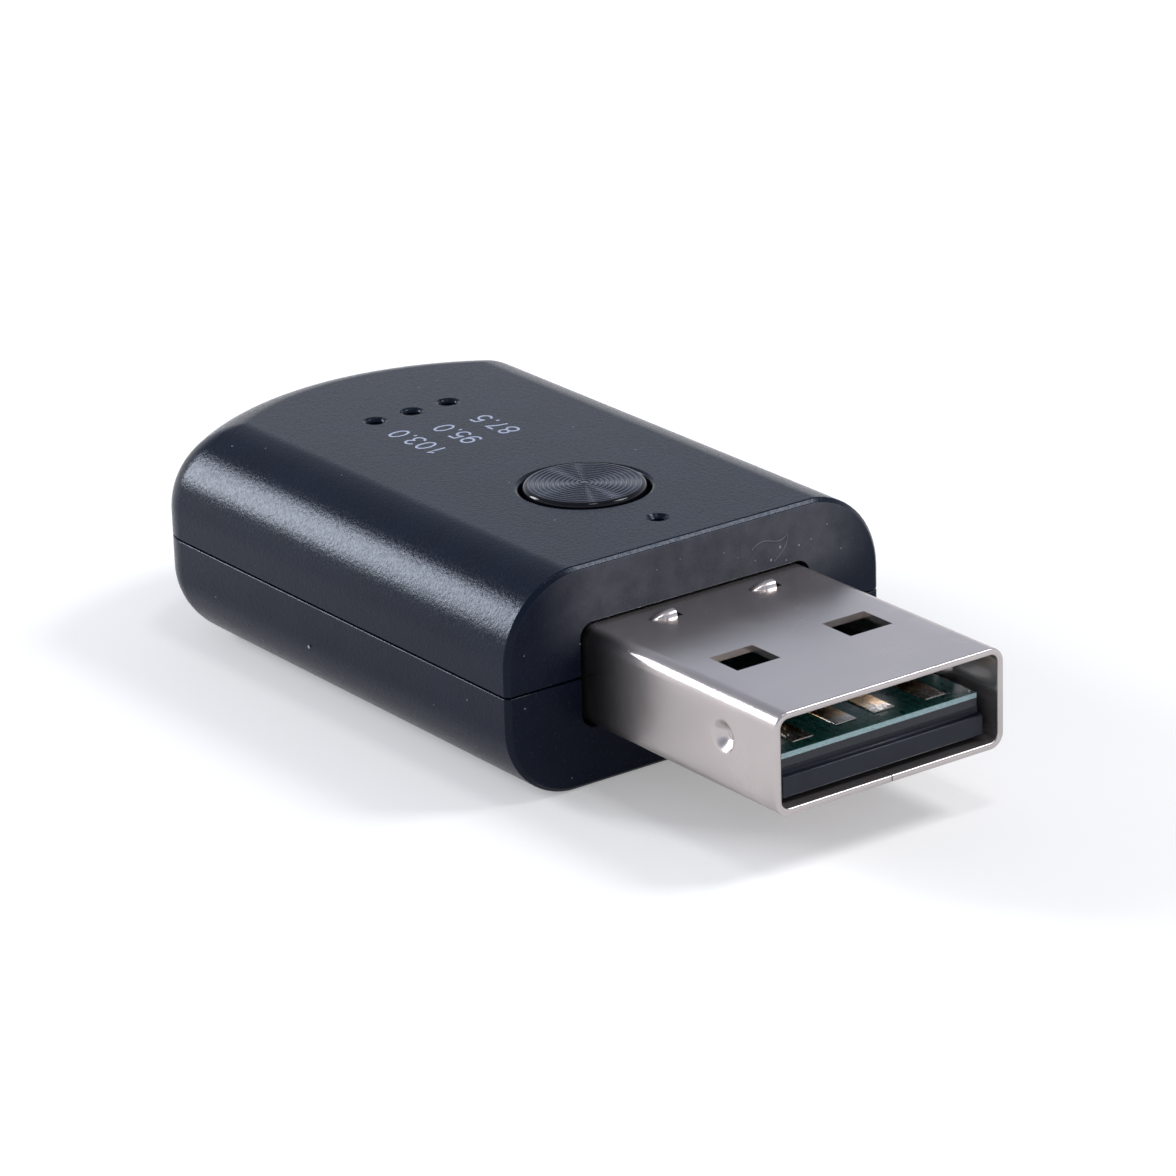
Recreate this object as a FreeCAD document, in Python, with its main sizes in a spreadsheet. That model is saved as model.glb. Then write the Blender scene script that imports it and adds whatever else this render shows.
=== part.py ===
"""Car FM transmitter on a USB plug: a parametric document, in millimetres.

Every piece is drawn with X = 0 at the housing's front face, +X towards the plug's mouth,
Y = 0 on the plane of symmetry and Z = 0 on the plug's axis, where the two shells part.
Each is then placed so that the origin lies under the middle of the whole object, on the
surface that the flat underside rests on.
"""
import FreeCAD
import Part
import Sketcher
import math
import os
from types import SimpleNamespace

SIZES = {
    # Housing: a rounded block whose tail is an arc in plan
    "housing_length": 30.2,
    "housing_width": 20.0,
    "housing_height": 10.0,
    "wall": 1.2,
    "top_round": 3.9,
    "under_round": 3.5,
    "tail_radius": 14.6,
    "tail_corner_round": 2.2,
    "front_edge_cut": 0.2,
    "flat_trim": 0.02,
    "parting_gap": 0.08,
    # Tongue of the lower shell in the rebate of the upper one, with snap beads
    "lip_height": 0.8,
    "lip_thickness": 0.58,
    "lip_clearance": 0.05,
    "lip_front_setback": 2.0,
    "bead_side": 0.26,
    "bead_length": 3.0,
    "bead_front": 7.5,
    "bead_pitch": 11.0,
    # Folded steel sleeve of the plug
    "plug_width": 12.0,
    "plug_height": 4.5,
    "plug_reach": 13.0,
    "plug_root": 1.4,
    "sheet": 0.3,
    "sleeve_corner_round": 0.55,
    "seam_gap": 0.06,
    "sleeve_clearance": 0.12,
    "window_start": 6.2,
    "window_length": 1.9,
    "window_inner": 1.85,
    "window_width": 2.25,
    "lance_front": 1.2,
    "lance_spread": 2.65,
    "lance_length": 0.9,
    "lance_radius": 0.36,
    "lance_tip_radius": 0.1,
    "lance_sheet": 0.16,
    "lance_slot": 0.2,
    "dimple_front": 9.5,
    "dimple_height": 0.3,
    "dimple_radius": 0.62,
    "dimple_floor_radius": 0.26,
    "dimple_depth": 0.34,
    "leg_length": 2.3,
    "leg_low": -1.4,
    "leg_high": 0.6,
    # Circuit board, with a tongue that runs into the plug
    "board_top": 0.15,
    "board_thickness": 0.6,
    "board_side_gap": 0.6,
    "board_front": -1.5,
    "board_tail_gap": 1.2,
    "board_corner_length": 3.2,
    "board_corner_width": 4.2,
    "tongue_side_gap": 0.55,
    "tongue_setback": 0.75,
    "slot_clearance": 0.12,
    # Gold contacts on the tongue
    "contact_thickness": 0.06,
    "contact_width": 1.1,
    "contact_rear": 4.0,
    "contact_spread_outer": 3.5,
    "contact_spread_inner": 1.0,
    "contact_setback_outer": 0.65,
    "contact_setback_inner": 0.95,
    # Moulded block that fills the plug under the tongue
    "insert_side_gap": 0.4,
    "insert_setback": 0.5,
    "insert_rear": -3.0,
    "insert_step": 0.35,
    "insert_foot_height": 0.25,
    "insert_foot_width": 0.9,
    # Posts that locate the board and hold it down
    "post_side": 1.8,
    "pin_radius": 0.5,
    "pin_clearance": 0.1,
    "front_post_x": -3.5,
    "post_leg_gap": 0.45,
    "rear_post_setback": 1.4,
    "rear_post_inset": 2.2,
    "rib_thickness": 0.9,
    "rib_inset": 2.0,
    # Push button
    "button_x": -7.85,
    "cap_radius": 2.72,
    "cap_clearance": 0.17,
    "cap_proud": 0.15,
    "cap_bevel": 0.2,
    "flange_radius": 3.25,
    "flange_thickness": 0.55,
    "flange_play": 0.05,
    "guide_clearance": 0.15,
    "guide_wall": 0.6,
    "guide_depth": 1.4,
    "key_width": 0.9,
    "key_clearance": 0.12,
    "ring_rim": 0.12,
    "ring_depth": 0.06,
    "cap_wall": 0.7,
    "cap_roof": 0.9,
    "stem_radius": 1.0,
    # Tactile switch under the button
    "switch_side": 5.2,
    "switch_height": 1.05,
    "switch_floor": 0.3,
    "switch_pocket_radius": 1.9,
    "cover_thickness": 0.15,
    "cover_hole_radius": 1.15,
    "cover_tab_width": 1.6,
    "cover_tab_drop": 0.6,
    "plunger_flange_radius": 1.5,
    "plunger_play": 0.05,
    "plunger_flange_thickness": 0.28,
    "plunger_reach": 1.6,
    "dome_half_side": 1.25,
    "dome_rise": 0.3,
    "dome_sheet": 0.08,
    "terminal_width": 0.7,
    "terminal_reach": 0.6,
    "terminal_thickness": 0.2,
    # Status lamps and the block that keeps their light apart
    "led_x": -21.0,
    "led_pitch": 2.0,
    "led_length": 1.6,
    "led_width": 0.8,
    "led_height": 0.6,
    "led_base": 0.25,
    "lens_length": 1.1,
    "led_hole_radius": 0.38,
    "baffle_half_length": 1.1,
    "baffle_side": 1.2,
    "well_half_length": 0.85,
    "well_half_width": 0.65,
    "baffle_clearance": 0.2,
    # Microphone under its hole
    "mic_x": -2.6,
    "mic_length": 1.85,
    "mic_width": 2.75,
    "mic_height": 0.95,
    "mic_port_radius": 0.15,
    "mic_hole_radius": 0.34,
    "mic_sink_radius": 0.52,
    "mic_sink_depth": 0.18,
    "gasket_half_side": 0.9,
    "gasket_bore_half_side": 0.42,
    # Parts on the board
    "chip_x": -14.9,
    "chip_length": 3.9,
    "chip_width": 9.9,
    "chip_lift": 0.1,
    "chip_thickness": 1.45,
    "lead_pitch": 1.27,
    "lead_end_gap": 0.295,
    "lead_width": 0.42,
    "lead_thickness": 0.2,
    "lead_reach": 1.0,
    "lead_foot": 0.6,
    "chip_draft": 0.12,
    "crystal_length": 3.2,
    "crystal_width": 2.5,
    "crystal_height": 0.8,
    "regulator_length": 2.9,
    "regulator_width": 1.6,
    "regulator_height": 1.1,
    "regulator_lead_pitch": 0.95,
    "entry_part_x": -3.3,
    "entry_part_y": 3.4,
    "supply_x": -8.0,
    "supply_outset": 0.5,
    "inductor_side": 3.0,
    "inductor_height": 1.5,
    "inductor_plate": 0.3,
    "inductor_core_radius": 0.8,
    "winding_radius": 1.3,
    "capacitor_length": 3.5,
    "capacitor_width": 2.8,
    "capacitor_height": 1.9,
    "capacitor_tab": 0.12,
    "antenna_x": -26.2,
    "antenna_length": 2.0,
    "antenna_width": 5.0,
    "antenna_height": 1.0,
    "small_part_length": 1.0,
    "small_part_width": 0.5,
    "small_part_height": 0.5,
    "small_part_pitch": 2.5,
    "row_end_gap": 1.45,
    "ceramic_row_x": -18.85,
    "resistor_row_x": -11.35,
}

DOC = FreeCAD.newDocument("CarFmTransmitter")
SHEET = DOC.addObject("Spreadsheet::Sheet", "Sizes")
NODES = []


class Rule:
    """A size worked out from the sheet: its value now, and the words that keep it bound."""

    def __init__(self, value, text):
        self.value = value
        self.text = text

    def __add__(self, other):
        other = as_rule(other)
        return Rule(self.value + other.value, f"({self.text} + {other.text})")

    def __sub__(self, other):
        other = as_rule(other)
        return Rule(self.value - other.value, f"({self.text} - {other.text})")

    def __mul__(self, other):
        other = as_rule(other)
        return Rule(self.value * other.value, f"({self.text} * {other.text})")

    def __truediv__(self, other):
        other = as_rule(other)
        return Rule(self.value / other.value, f"({self.text} / {other.text})")

    def __neg__(self):
        return Rule(-self.value, f"(0 - {self.text})")

    __radd__ = __add__
    __rmul__ = __mul__

    def __rsub__(self, other):
        return as_rule(other) - self


def as_rule(number):
    return number if isinstance(number, Rule) else Rule(float(number), f"({float(number)})")


def fill_sheet():
    for row, (name, value) in enumerate(SIZES.items(), 1):
        SHEET.set(f"A{row}", name)
        SHEET.set(f"B{row}", str(value))
        SHEET.setAlias(f"B{row}", name)
    DOC.recompute()
    return SimpleNamespace(**{name: Rule(value, f"Sizes.{name}") for name, value in SIZES.items()})


s = fill_sheet()

HALF_WIDTH = s.housing_width / 2
HALF_HEIGHT = s.housing_height / 2
CEILING = HALF_HEIGHT - s.wall
PLUG_TOP = s.plug_height / 2
BOARD_UNDER = s.board_top - s.board_thickness
SWITCH_TOP = s.board_top + s.switch_height
PLUNGER_TOP = s.board_top + s.plunger_reach
FLANGE_TOP = CEILING - s.flange_play
FLANGE_UNDER = FLANGE_TOP - s.flange_thickness
GUIDE_RADIUS = s.flange_radius + s.guide_clearance
GUIDE_OUTER = GUIDE_RADIUS + s.guide_wall
SLEEVE_INSIDE = s.plug_width / 2 - s.sheet
TONGUE_HALF = SLEEVE_INSIDE - s.tongue_side_gap
INSERT_HALF = SLEEVE_INSIDE - s.insert_side_gap
BOARD_HALF = HALF_WIDTH - s.wall - s.board_side_gap
BOARD_TAIL = s.wall + s.board_tail_gap - s.housing_length
BOARD_SHOULDER = BOARD_TAIL + s.board_corner_length
FRONT_POST_Y = s.plug_width / 2 + s.post_leg_gap + s.post_side / 2
REAR_POST_X = BOARD_SHOULDER + s.rear_post_setback
REAR_POST_Y = BOARD_HALF - s.rear_post_inset
SWITCH_REACH = s.switch_side / 2 + s.terminal_reach
SUPPLY_Y = (SWITCH_REACH + BOARD_HALF) / 2 + s.supply_outset
MARGIN = 1.0
NEAR = 1e-4
CORNER_CUT = 2 - math.sqrt(2)
HALF_DIAGONAL = math.sqrt(2) / 2
CAP_RINGS = 11
ALONG_Y = FreeCAD.Rotation(FreeCAD.Vector(1, 0, 0), -90)
AGAINST_Y = FreeCAD.Rotation(FreeCAD.Vector(1, 0, 0), 90)
ON_EDGE = FreeCAD.Rotation(FreeCAD.Vector(1, 0, 0), 45)


def bind(thing, **rules):
    for name, rule in rules.items():
        thing.setExpression(name, as_rule(rule).text)


def place(thing, x=0, y=0, z=0):
    for axis, rule in (("x", x), ("y", y), ("z", z)):
        thing.setExpression(f"Placement.Base.{axis}", as_rule(rule).text)
    return thing


def block(name, x, y, z):
    """A box between the two values of each pair."""
    box = DOC.addObject("Part::Box", name)
    bind(box, Length=x[1] - as_rule(x[0]), Width=y[1] - as_rule(y[0]), Height=z[1] - as_rule(z[0]))
    return place(box, x[0], y[0], z[0])


def both(half):
    """The pair of values either side of the middle."""
    return -as_rule(half), as_rule(half)


def evenly(span, pitch):
    """Places from one end of a span to the other, as near to a pitch apart as fits."""
    gaps = max(1, round(span.value / pitch.value))
    return [span * (index / gaps - 0.5) for index in range(gaps + 1)]


def rod(name, radius, z, x=0, y=0):
    """An upright cylinder between the two heights of z."""
    thing = DOC.addObject("Part::Cylinder", name)
    bind(thing, Radius=radius, Height=z[1] - as_rule(z[0]))
    return place(thing, x, y, z[0])


def prism(name, sides, radius, z, x=0, y=0):
    """An upright rod with flat sides, for small round things that are out of sight."""
    thing = DOC.addObject("Part::Prism", name)
    thing.Polygon = sides
    bind(thing, Circumradius=radius, Height=z[1] - as_rule(z[0]))
    return place(thing, x, y, z[0])


def facet_cone(name, sides, low_radius, high_radius, height, at, turn=None):
    """A cone with flat sides between two polygons; turn lays it along Y instead of Z."""
    x, y, z = at
    rings = []
    for end, radius, along in (("Low", low_radius, 0), ("High", high_radius, height)):
        ring = DOC.addObject("Part::RegularPolygon", name + end)
        ring.Polygon = sides
        bind(ring, Circumradius=radius)
        if turn is None:
            place(ring, x, y, z + along)
        else:
            ring.Placement = FreeCAD.Placement(FreeCAD.Vector(), turn)
            place(ring, x, y + along if turn is ALONG_Y else y - along, z)
        rings.append(ring)
    thing = DOC.addObject("Part::Loft", name)
    thing.Sections = rings
    thing.Solid = True
    thing.Ruled = True
    return thing


def hipped_block(name, low_half, high_half, height, z):
    """A square block whose four sides lean in towards its top."""
    thing = DOC.addObject("Part::Wedge", name)
    thing.Placement = FreeCAD.Placement(FreeCAD.Vector(), AGAINST_Y)
    low, high = as_rule(low_half), as_rule(high_half)
    bind(thing, Xmin=-low, Zmin=-low, Xmax=low, Zmax=low, X2min=-high, Z2min=-high, X2max=high,
         Z2max=high, Ymin=0, Ymax=height)
    return place(thing, 0, 0, z)


def cone(name, low_radius, high_radius, height, x=0, y=0, z=0, turn=None):
    thing = DOC.addObject("Part::Cone", name)
    bind(thing, Radius1=low_radius, Radius2=high_radius, Height=height)
    if turn:
        thing.Placement = FreeCAD.Placement(FreeCAD.Vector(), turn)
    return place(thing, x, y, z)


def join(name, pieces):
    thing = DOC.addObject("Part::MultiFuse", name)
    thing.Shapes = pieces
    thing.Refine = True
    return thing


def cut(name, base, tools):
    thing = DOC.addObject("Part::Cut", name)
    thing.Base = base
    thing.Tool = tools[0] if len(tools) == 1 else join(name + "Tools", tools)
    thing.Refine = True
    return thing


def common(name, base, tool):
    thing = DOC.addObject("Part::Common", name)
    thing.Base = base
    thing.Tool = tool
    thing.Refine = True
    return thing


def group(name, pieces):
    """Separate solids that share one node."""
    thing = DOC.addObject("Part::Compound", name)
    thing.Links = pieces
    return thing


def node(name, thing, x=0, y=0, z=0):
    """Name a finished piece and set it in the object's frame."""
    thing.Label = name
    place(thing, x + (s.housing_length - s.plug_reach) / 2, y, z + HALF_HEIGHT)
    NODES.append(thing)


def new_sketch(body, name, role):
    plane = next(item for item in body.Origin.OriginFeatures if item.Role == role)
    sketch = body.newObject("Sketcher::SketchObject", name)
    sketch.AttachmentSupport = [(plane, "")]
    sketch.MapMode = "FlatFace"
    return sketch


def pin_point(sketch, index, which, u, v):
    """Hold one point of a sketch at two bound distances from its origin."""
    for kind, rule in (("DistanceX", u), ("DistanceY", v)):
        rule = as_rule(rule)
        number = sketch.addConstraint(Sketcher.Constraint(kind, -1, 1, index, which, rule.value))
        sketch.setExpression(f"Constraints[{number}]", rule.text)


def outline(sketch, points):
    """A closed outline of straight lines through bound points."""
    count = len(points)
    corners = [FreeCAD.Vector(as_rule(u).value, as_rule(v).value, 0) for u, v in points]
    for index in range(count):
        sketch.addGeometry(Part.LineSegment(corners[index], corners[(index + 1) % count]), False)
    for index in range(count):
        sketch.addConstraint(Sketcher.Constraint("Coincident", index, 2, (index + 1) % count, 1))
    for index, (u, v) in enumerate(points):
        pin_point(sketch, index, 1, u, v)


def pad(body, sketch, length, back=False, middle=False):
    feature = body.newObject("PartDesign::Pad", sketch.Name + "Pad")
    feature.Profile = sketch
    bind(feature, Length=length)
    feature.Reversed = back
    feature.Midplane = middle
    sketch.Visibility = False
    DOC.recompute()
    return feature


def turned(name, points):
    """A body of revolution about the upright axis, from its half section."""
    body = DOC.addObject("PartDesign::Body", name)
    sketch = new_sketch(body, name + "Section", "XZ_Plane")
    outline(sketch, points)
    feature = body.newObject("PartDesign::Revolution", name + "Turn")
    feature.Profile = sketch
    feature.ReferenceAxis = (sketch, ["V_Axis"])
    feature.Angle = 360
    return body


def soften(body, name, size, choose, flat=False):
    """Round, or cut flat, the edges of a body's last feature whose bounds the choice accepts."""
    base = body.Tip
    edges = base.Shape.Edges
    names = [f"Edge{number}" for number, edge in enumerate(edges, 1) if choose(edge)]
    feature = body.newObject("PartDesign::Chamfer" if flat else "PartDesign::Fillet", name)
    feature.Base = (base, names)
    if flat:
        bind(feature, Size=size)
    else:
        bind(feature, Radius=size)
    DOC.recompute()
    return feature


def runs_along_x(edge):
    return edge.BoundBox.YLength < NEAR and edge.BoundBox.ZLength < NEAR


def bar(name, x, half_width, z, low_round, high_round, flat=False):
    """A bar along X whose four long edges are rounded, or cut flat."""
    body = DOC.addObject("PartDesign::Body", name)
    sketch = new_sketch(body, name + "Section", "YZ_Plane")
    sketch.setExpression("AttachmentOffset.Base.z", as_rule(x[0]).text)
    low, high = (as_rule(value) for value in z)
    outline(sketch, [(-half_width, low), (half_width, low), (half_width, high), (-half_width, high)])
    pad(body, sketch, x[1] - as_rule(x[0]))
    soften(body, name + "HighRound", high_round,
           lambda edge: runs_along_x(edge) and edge.BoundBox.ZMin > high.value - NEAR, flat)
    soften(body, name + "LowRound", low_round,
           lambda edge: runs_along_x(edge) and edge.BoundBox.ZMax < low.value + NEAR, flat)
    return body


def tail_plan(name, inset, z, low_round, high_round, flat=False):
    """A plate wider than the housing whose rear end is the tail's arc, with softened rims."""
    radius = s.tail_radius - inset
    centre = s.tail_radius - s.housing_length
    body = DOC.addObject("PartDesign::Body", name)
    sketch = new_sketch(body, name + "Outline", "XY_Plane")
    low, high = (as_rule(value) for value in z)
    sketch.setExpression("AttachmentOffset.Base.z", low.text)
    front_right = FreeCAD.Vector(MARGIN, -radius.value, 0)
    front_left = FreeCAD.Vector(MARGIN, radius.value, 0)
    rear_left = FreeCAD.Vector(centre.value, radius.value, 0)
    rear_right = FreeCAD.Vector(centre.value, -radius.value, 0)
    circle = Part.Circle(FreeCAD.Vector(centre.value, 0, 0), FreeCAD.Vector(0, 0, 1), radius.value)
    sketch.addGeometry(Part.LineSegment(front_right, front_left), False)
    sketch.addGeometry(Part.LineSegment(front_left, rear_left), False)
    sketch.addGeometry(Part.ArcOfCircle(circle, math.pi / 2, 3 * math.pi / 2), False)
    sketch.addGeometry(Part.LineSegment(rear_right, front_right), False)
    for index in range(4):
        sketch.addConstraint(Sketcher.Constraint("Coincident", index, 2, (index + 1) % 4, 1))
    pin_point(sketch, 0, 1, MARGIN, -radius)
    pin_point(sketch, 0, 2, MARGIN, radius)
    pin_point(sketch, 1, 2, centre, radius)
    pin_point(sketch, 3, 1, centre, -radius)
    across = sketch.addConstraint(Sketcher.Constraint("DistanceX", -1, 1, 2, 3, centre.value))
    sketch.setExpression(f"Constraints[{across}]", centre.text)
    pad(body, sketch, high - low)
    soften(body, name + "HighRound", high_round,
           lambda edge: edge.BoundBox.ZMin > high.value - NEAR and edge.BoundBox.XLength > NEAR, flat)
    soften(body, name + "LowRound", low_round,
           lambda edge: edge.BoundBox.ZMax < low.value + NEAR and edge.BoundBox.XLength > NEAR, flat)
    return body


def outer_form():
    """The housing's outer form: a rounded bar met by the arc of the tail.

    It stands a little high at the flats, which are cut where its corner rounds have some width.
    """
    rounds = (s.under_round, s.top_round)
    z = both(HALF_HEIGHT + s.flat_trim)
    body = bar("Housing", (-s.housing_length - MARGIN, 0), HALF_WIDTH, z, *rounds)
    meeting = body.newObject("PartDesign::Boolean", "HousingTail")
    meeting.Type = "Common"
    meeting.Group = [tail_plan("HousingPlan", 0, z, *rounds)]
    DOC.recompute()
    soften(body, "CornerRound", s.tail_corner_round,
           lambda edge: edge.BoundBox.ZLength > NEAR and edge.BoundBox.XMax < -MARGIN * 5)
    soften(body, "FrontEdge", s.front_edge_cut, lambda edge: edge.BoundBox.XMin > -NEAR, flat=True)
    return body


def cavity_form():
    """The hollow inside: the outer form one wall in, with its rounds as flat cuts."""
    cuts = [(size - s.wall) * CORNER_CUT for size in (s.under_round, s.top_round)]
    z = both(CEILING)
    body = bar("Cavity", (-s.housing_length - MARGIN, -s.wall), HALF_WIDTH - s.wall, z, *cuts,
               flat=True)
    return common("CavityForm", body, tail_plan("CavityPlan", s.wall, z, *cuts, flat=True))


def upright_form(name, inset, front, z):
    """The plan of the housing drawn in by an inset, with upright walls between two heights."""
    slab = block(name + "Slab", (-s.housing_length - MARGIN, front), both(HALF_WIDTH - inset), z)
    disc = rod(name + "Disc", s.tail_radius - inset, z, s.tail_radius - s.housing_length)
    square = block(name + "Front", (s.tail_radius - s.housing_length, front),
                   both(HALF_WIDTH - inset), z)
    return common(name, slab, join(name + "Plan", [disc, square]))


def long_slice(name, z):
    """A slab over the whole plan, between two heights."""
    return block(name, (-s.housing_length - MARGIN, MARGIN), both(HALF_WIDTH + MARGIN), z)


def board_spots():
    """The places near the board's corners where it is held between posts."""
    return [(place_name + side_name, x, side * y)
            for place_name, x, y in (("Front", s.front_post_x, FRONT_POST_Y),
                                     ("Rear", REAR_POST_X, REAR_POST_Y))
            for side_name, side in (("Right", -1), ("Left", 1))]


def posts(name, z):
    """Four square posts that hold the board between the shells."""
    half = s.post_side / 2
    return [block(name + spot, (x - half, x + half), (y - half, y + half), z)
            for spot, x, y in board_spots()]


def pins(name, radius, z):
    """Round rods at the two front posts."""
    return [rod(name + spot, radius, z, x, y) for spot, x, y in board_spots()[:2]]


def beads(name, side_length, extra):
    """Ridges along both sides, lying half in the lip's outer face, longer by an extra."""
    across = HALF_WIDTH - s.wall + s.lip_thickness
    pieces = []
    for index in range(2):
        for side_name, side in (("Right", -1), ("Left", 1)):
            bead = DOC.addObject("Part::Box", f"{name}{index}{side_name}")
            bead.Placement = FreeCAD.Placement(FreeCAD.Vector(), ON_EDGE)
            bind(bead, Length=s.bead_length + extra * 2, Width=side_length, Height=side_length)
            place(bead, -s.bead_front - s.bead_pitch * index - s.bead_length - extra,
                  side * across, s.lip_height / 2 - side_length * HALF_DIAGONAL)
            pieces.append(bead)
    return pieces


def sleeve_aperture(name):
    half_width = s.plug_width / 2 + s.sleeve_clearance
    corner = s.sleeve_corner_round + s.sleeve_clearance
    return bar(name, (-s.wall - MARGIN, MARGIN), half_width, both(PLUG_TOP + s.sleeve_clearance),
               corner, corner)


def make_top_shell(outer, walls, cavity):
    """The upper half: button guide, lamp baffle, hold-down posts and the holes above them."""
    roof = CEILING + s.wall / 2
    lamp_top = s.board_top + s.led_height
    inside = [
        walls,
        rod("GuideRing", GUIDE_OUTER, (CEILING - s.guide_depth, roof), s.button_x),
        block("LampBaffle", (s.led_x - s.baffle_half_length, s.led_x + s.baffle_half_length),
              both(s.led_pitch + s.baffle_side), (lamp_top + s.baffle_clearance, roof)),
        *posts("HoldDown", (s.board_top, roof)),
    ]
    trimmed = common("TopTrimmed", join("TopInside", inside), outer)
    upper = common("TopHalf", trimmed, long_slice("UpperSlab", (s.parting_gap / 2, HALF_HEIGHT)))
    rebate = upright_form("Rebate", s.wall - s.lip_thickness - s.lip_clearance,
                          -s.lip_front_setback + s.lip_clearance,
                          (0, s.lip_height + s.lip_clearance))
    key_half = s.key_width / 2 + s.key_clearance
    holes = [
        cut("RebateRing", rebate, [cavity]),
        rod("GuideBore", GUIDE_RADIUS, (0, CEILING), s.button_x),
        rod("ButtonHole", s.cap_radius + s.cap_clearance, (0, HALF_HEIGHT + MARGIN), s.button_x),
        block("KeyNotch", (s.button_x - key_half, s.button_x + key_half),
              both(GUIDE_OUTER + s.key_clearance), (0, CEILING)),
        rod("MicHole", s.mic_hole_radius, (CEILING - MARGIN, HALF_HEIGHT + MARGIN), s.mic_x),
        cone("MicSink", s.mic_hole_radius, s.mic_sink_radius, s.mic_sink_depth,
             s.mic_x, 0, HALF_HEIGHT - s.mic_sink_depth),
        sleeve_aperture("TopAperture"),
        *beads("BeadRecess", s.bead_side + s.lip_clearance * 2, s.lip_clearance),
    ]
    for index in (-1, 0, 1):
        y = s.led_pitch * index
        holes.append(block(f"LampWell{index + 1}",
                           (s.led_x - s.well_half_length, s.led_x + s.well_half_length),
                           (y - s.well_half_width, y + s.well_half_width), (0, CEILING)))
        holes.append(rod(f"LampHole{index + 1}", s.led_hole_radius,
                         (CEILING - MARGIN, HALF_HEIGHT + MARGIN), s.led_x, y))
    node("top_shell", cut("TopShell", upper, holes))


def make_bottom_shell(outer, walls, cavity):
    """The lower half: board posts with pins, support ribs and the lip with its snap beads."""
    floor = -HALF_HEIGHT + s.wall / 2
    half_rib = s.rib_thickness / 2
    inside = [walls, *posts("BoardPost", (floor, BOARD_UNDER))]
    for name, x in (("SwitchRib", s.button_x), ("ChipRib", s.chip_x)):
        inside.append(block(name, (x - half_rib, x + half_rib), both(BOARD_HALF - s.rib_inset),
                            (floor, BOARD_UNDER)))
    trimmed = common("BottomTrimmed", join("BottomInside", inside), outer)
    lower = common("BottomHalf", trimmed,
                   long_slice("LowerSlab", (-HALF_HEIGHT, -s.parting_gap / 2)))
    lip = upright_form("Lip", s.wall - s.lip_thickness, -s.lip_front_setback,
                       (-s.parting_gap, s.lip_height))
    solids = [lower, cut("LipRing", lip, [cavity]),
              *pins("Pin", s.pin_radius, (BOARD_UNDER - s.pin_radius, s.board_top - s.pin_clearance)),
              *beads("Bead", s.bead_side, 0)]
    node("bottom_shell", cut("BottomShell", join("BottomWhole", solids),
                             [sleeve_aperture("BottomAperture")]))


def lance_parts(name, y):
    """A pressed half cone on the sleeve's top, its hollow, and the slot at its open end."""
    start = y - s.lance_length / 2
    raised = facet_cone(name + "Cone", 12, s.lance_tip_radius, s.lance_radius, s.lance_length,
                        (s.lance_front, start, PLUG_TOP), ALONG_Y)
    inner = s.lance_radius - s.lance_sheet
    hollow = facet_cone(name + "Hollow", 12, inner * 0.2, inner, s.lance_length,
                        (s.lance_front, start + s.lance_sheet, PLUG_TOP), ALONG_Y)
    slot = block(name + "Slot", (s.lance_front - inner, s.lance_front + inner),
                 (start + s.lance_length, start + s.lance_length + s.lance_slot),
                 (PLUG_TOP - s.sheet * 1.5, PLUG_TOP + s.sheet))
    return raised, [hollow, slot]


def dimple_parts(name, side):
    """A round dimple pressed into a narrow side: the swelling inside, and the hollow."""
    turn = ALONG_Y if side < 0 else AGAINST_Y
    face = s.plug_width / 2
    swelling = facet_cone(name + "Swelling", 16, s.dimple_radius,
                          s.dimple_floor_radius + s.sheet / 2, s.dimple_depth + s.sheet / 2,
                          (s.dimple_front, side * (face - s.sheet / 2), s.dimple_height), turn)
    hollow = facet_cone(name + "Hollow", 16, s.dimple_radius, s.dimple_floor_radius,
                        s.dimple_depth, (s.dimple_front, side * face, s.dimple_height), turn)
    return swelling, hollow


def make_usb_sleeve():
    """The folded sheet-steel sleeve, with windows, lances, dimples and two solder legs."""
    x = (-s.plug_root, s.plug_reach)
    half = s.plug_width / 2
    inner_corner = s.sleeve_corner_round - s.sheet
    outside = bar("SleeveOutside", x, half, both(PLUG_TOP),
                  s.sleeve_corner_round, s.sleeve_corner_round)
    inside = bar("SleeveInside", (x[0] - MARGIN, x[1] + MARGIN), half - s.sheet,
                 both(PLUG_TOP - s.sheet), inner_corner, inner_corner)
    openings = [inside, block("Seam", (x[0] - MARGIN, x[1] + MARGIN), both(s.seam_gap / 2),
                              (-PLUG_TOP - MARGIN, -PLUG_TOP + s.sheet * 2))]
    pressed = []
    hollows = []
    for name, side in (("Right", -1), ("Left", 1)):
        inner_edge = side * s.window_inner
        outer_edge = side * (s.window_inner + s.window_width)
        y = (inner_edge, outer_edge) if side > 0 else (outer_edge, inner_edge)
        openings.append(block(name + "Windows",
                              (s.window_start, s.window_start + s.window_length), y,
                              both(PLUG_TOP + MARGIN)))
        raised, lance_hollows = lance_parts(name + "Lance", side * s.lance_spread)
        swelling, dimple_hollow = dimple_parts(name + "Dimple", side)
        leg_y = (half - s.sheet, half) if side > 0 else (-half, s.sheet - half)
        leg = block(name + "Leg", (x[0] - s.leg_length, x[0] + s.sheet), leg_y,
                    (s.leg_low, s.leg_high))
        pressed += [raised, swelling, leg]
        hollows += [*lance_hollows, dimple_hollow]
    tube = cut("SleeveTube", outside, openings)
    whole = join("SleevePressed", [tube, *pressed])
    for index, hollow in enumerate(hollows):
        whole = cut(f"SleeveHollow{index}", whole, [hollow])
    node("usb_sleeve", whole)


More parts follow.
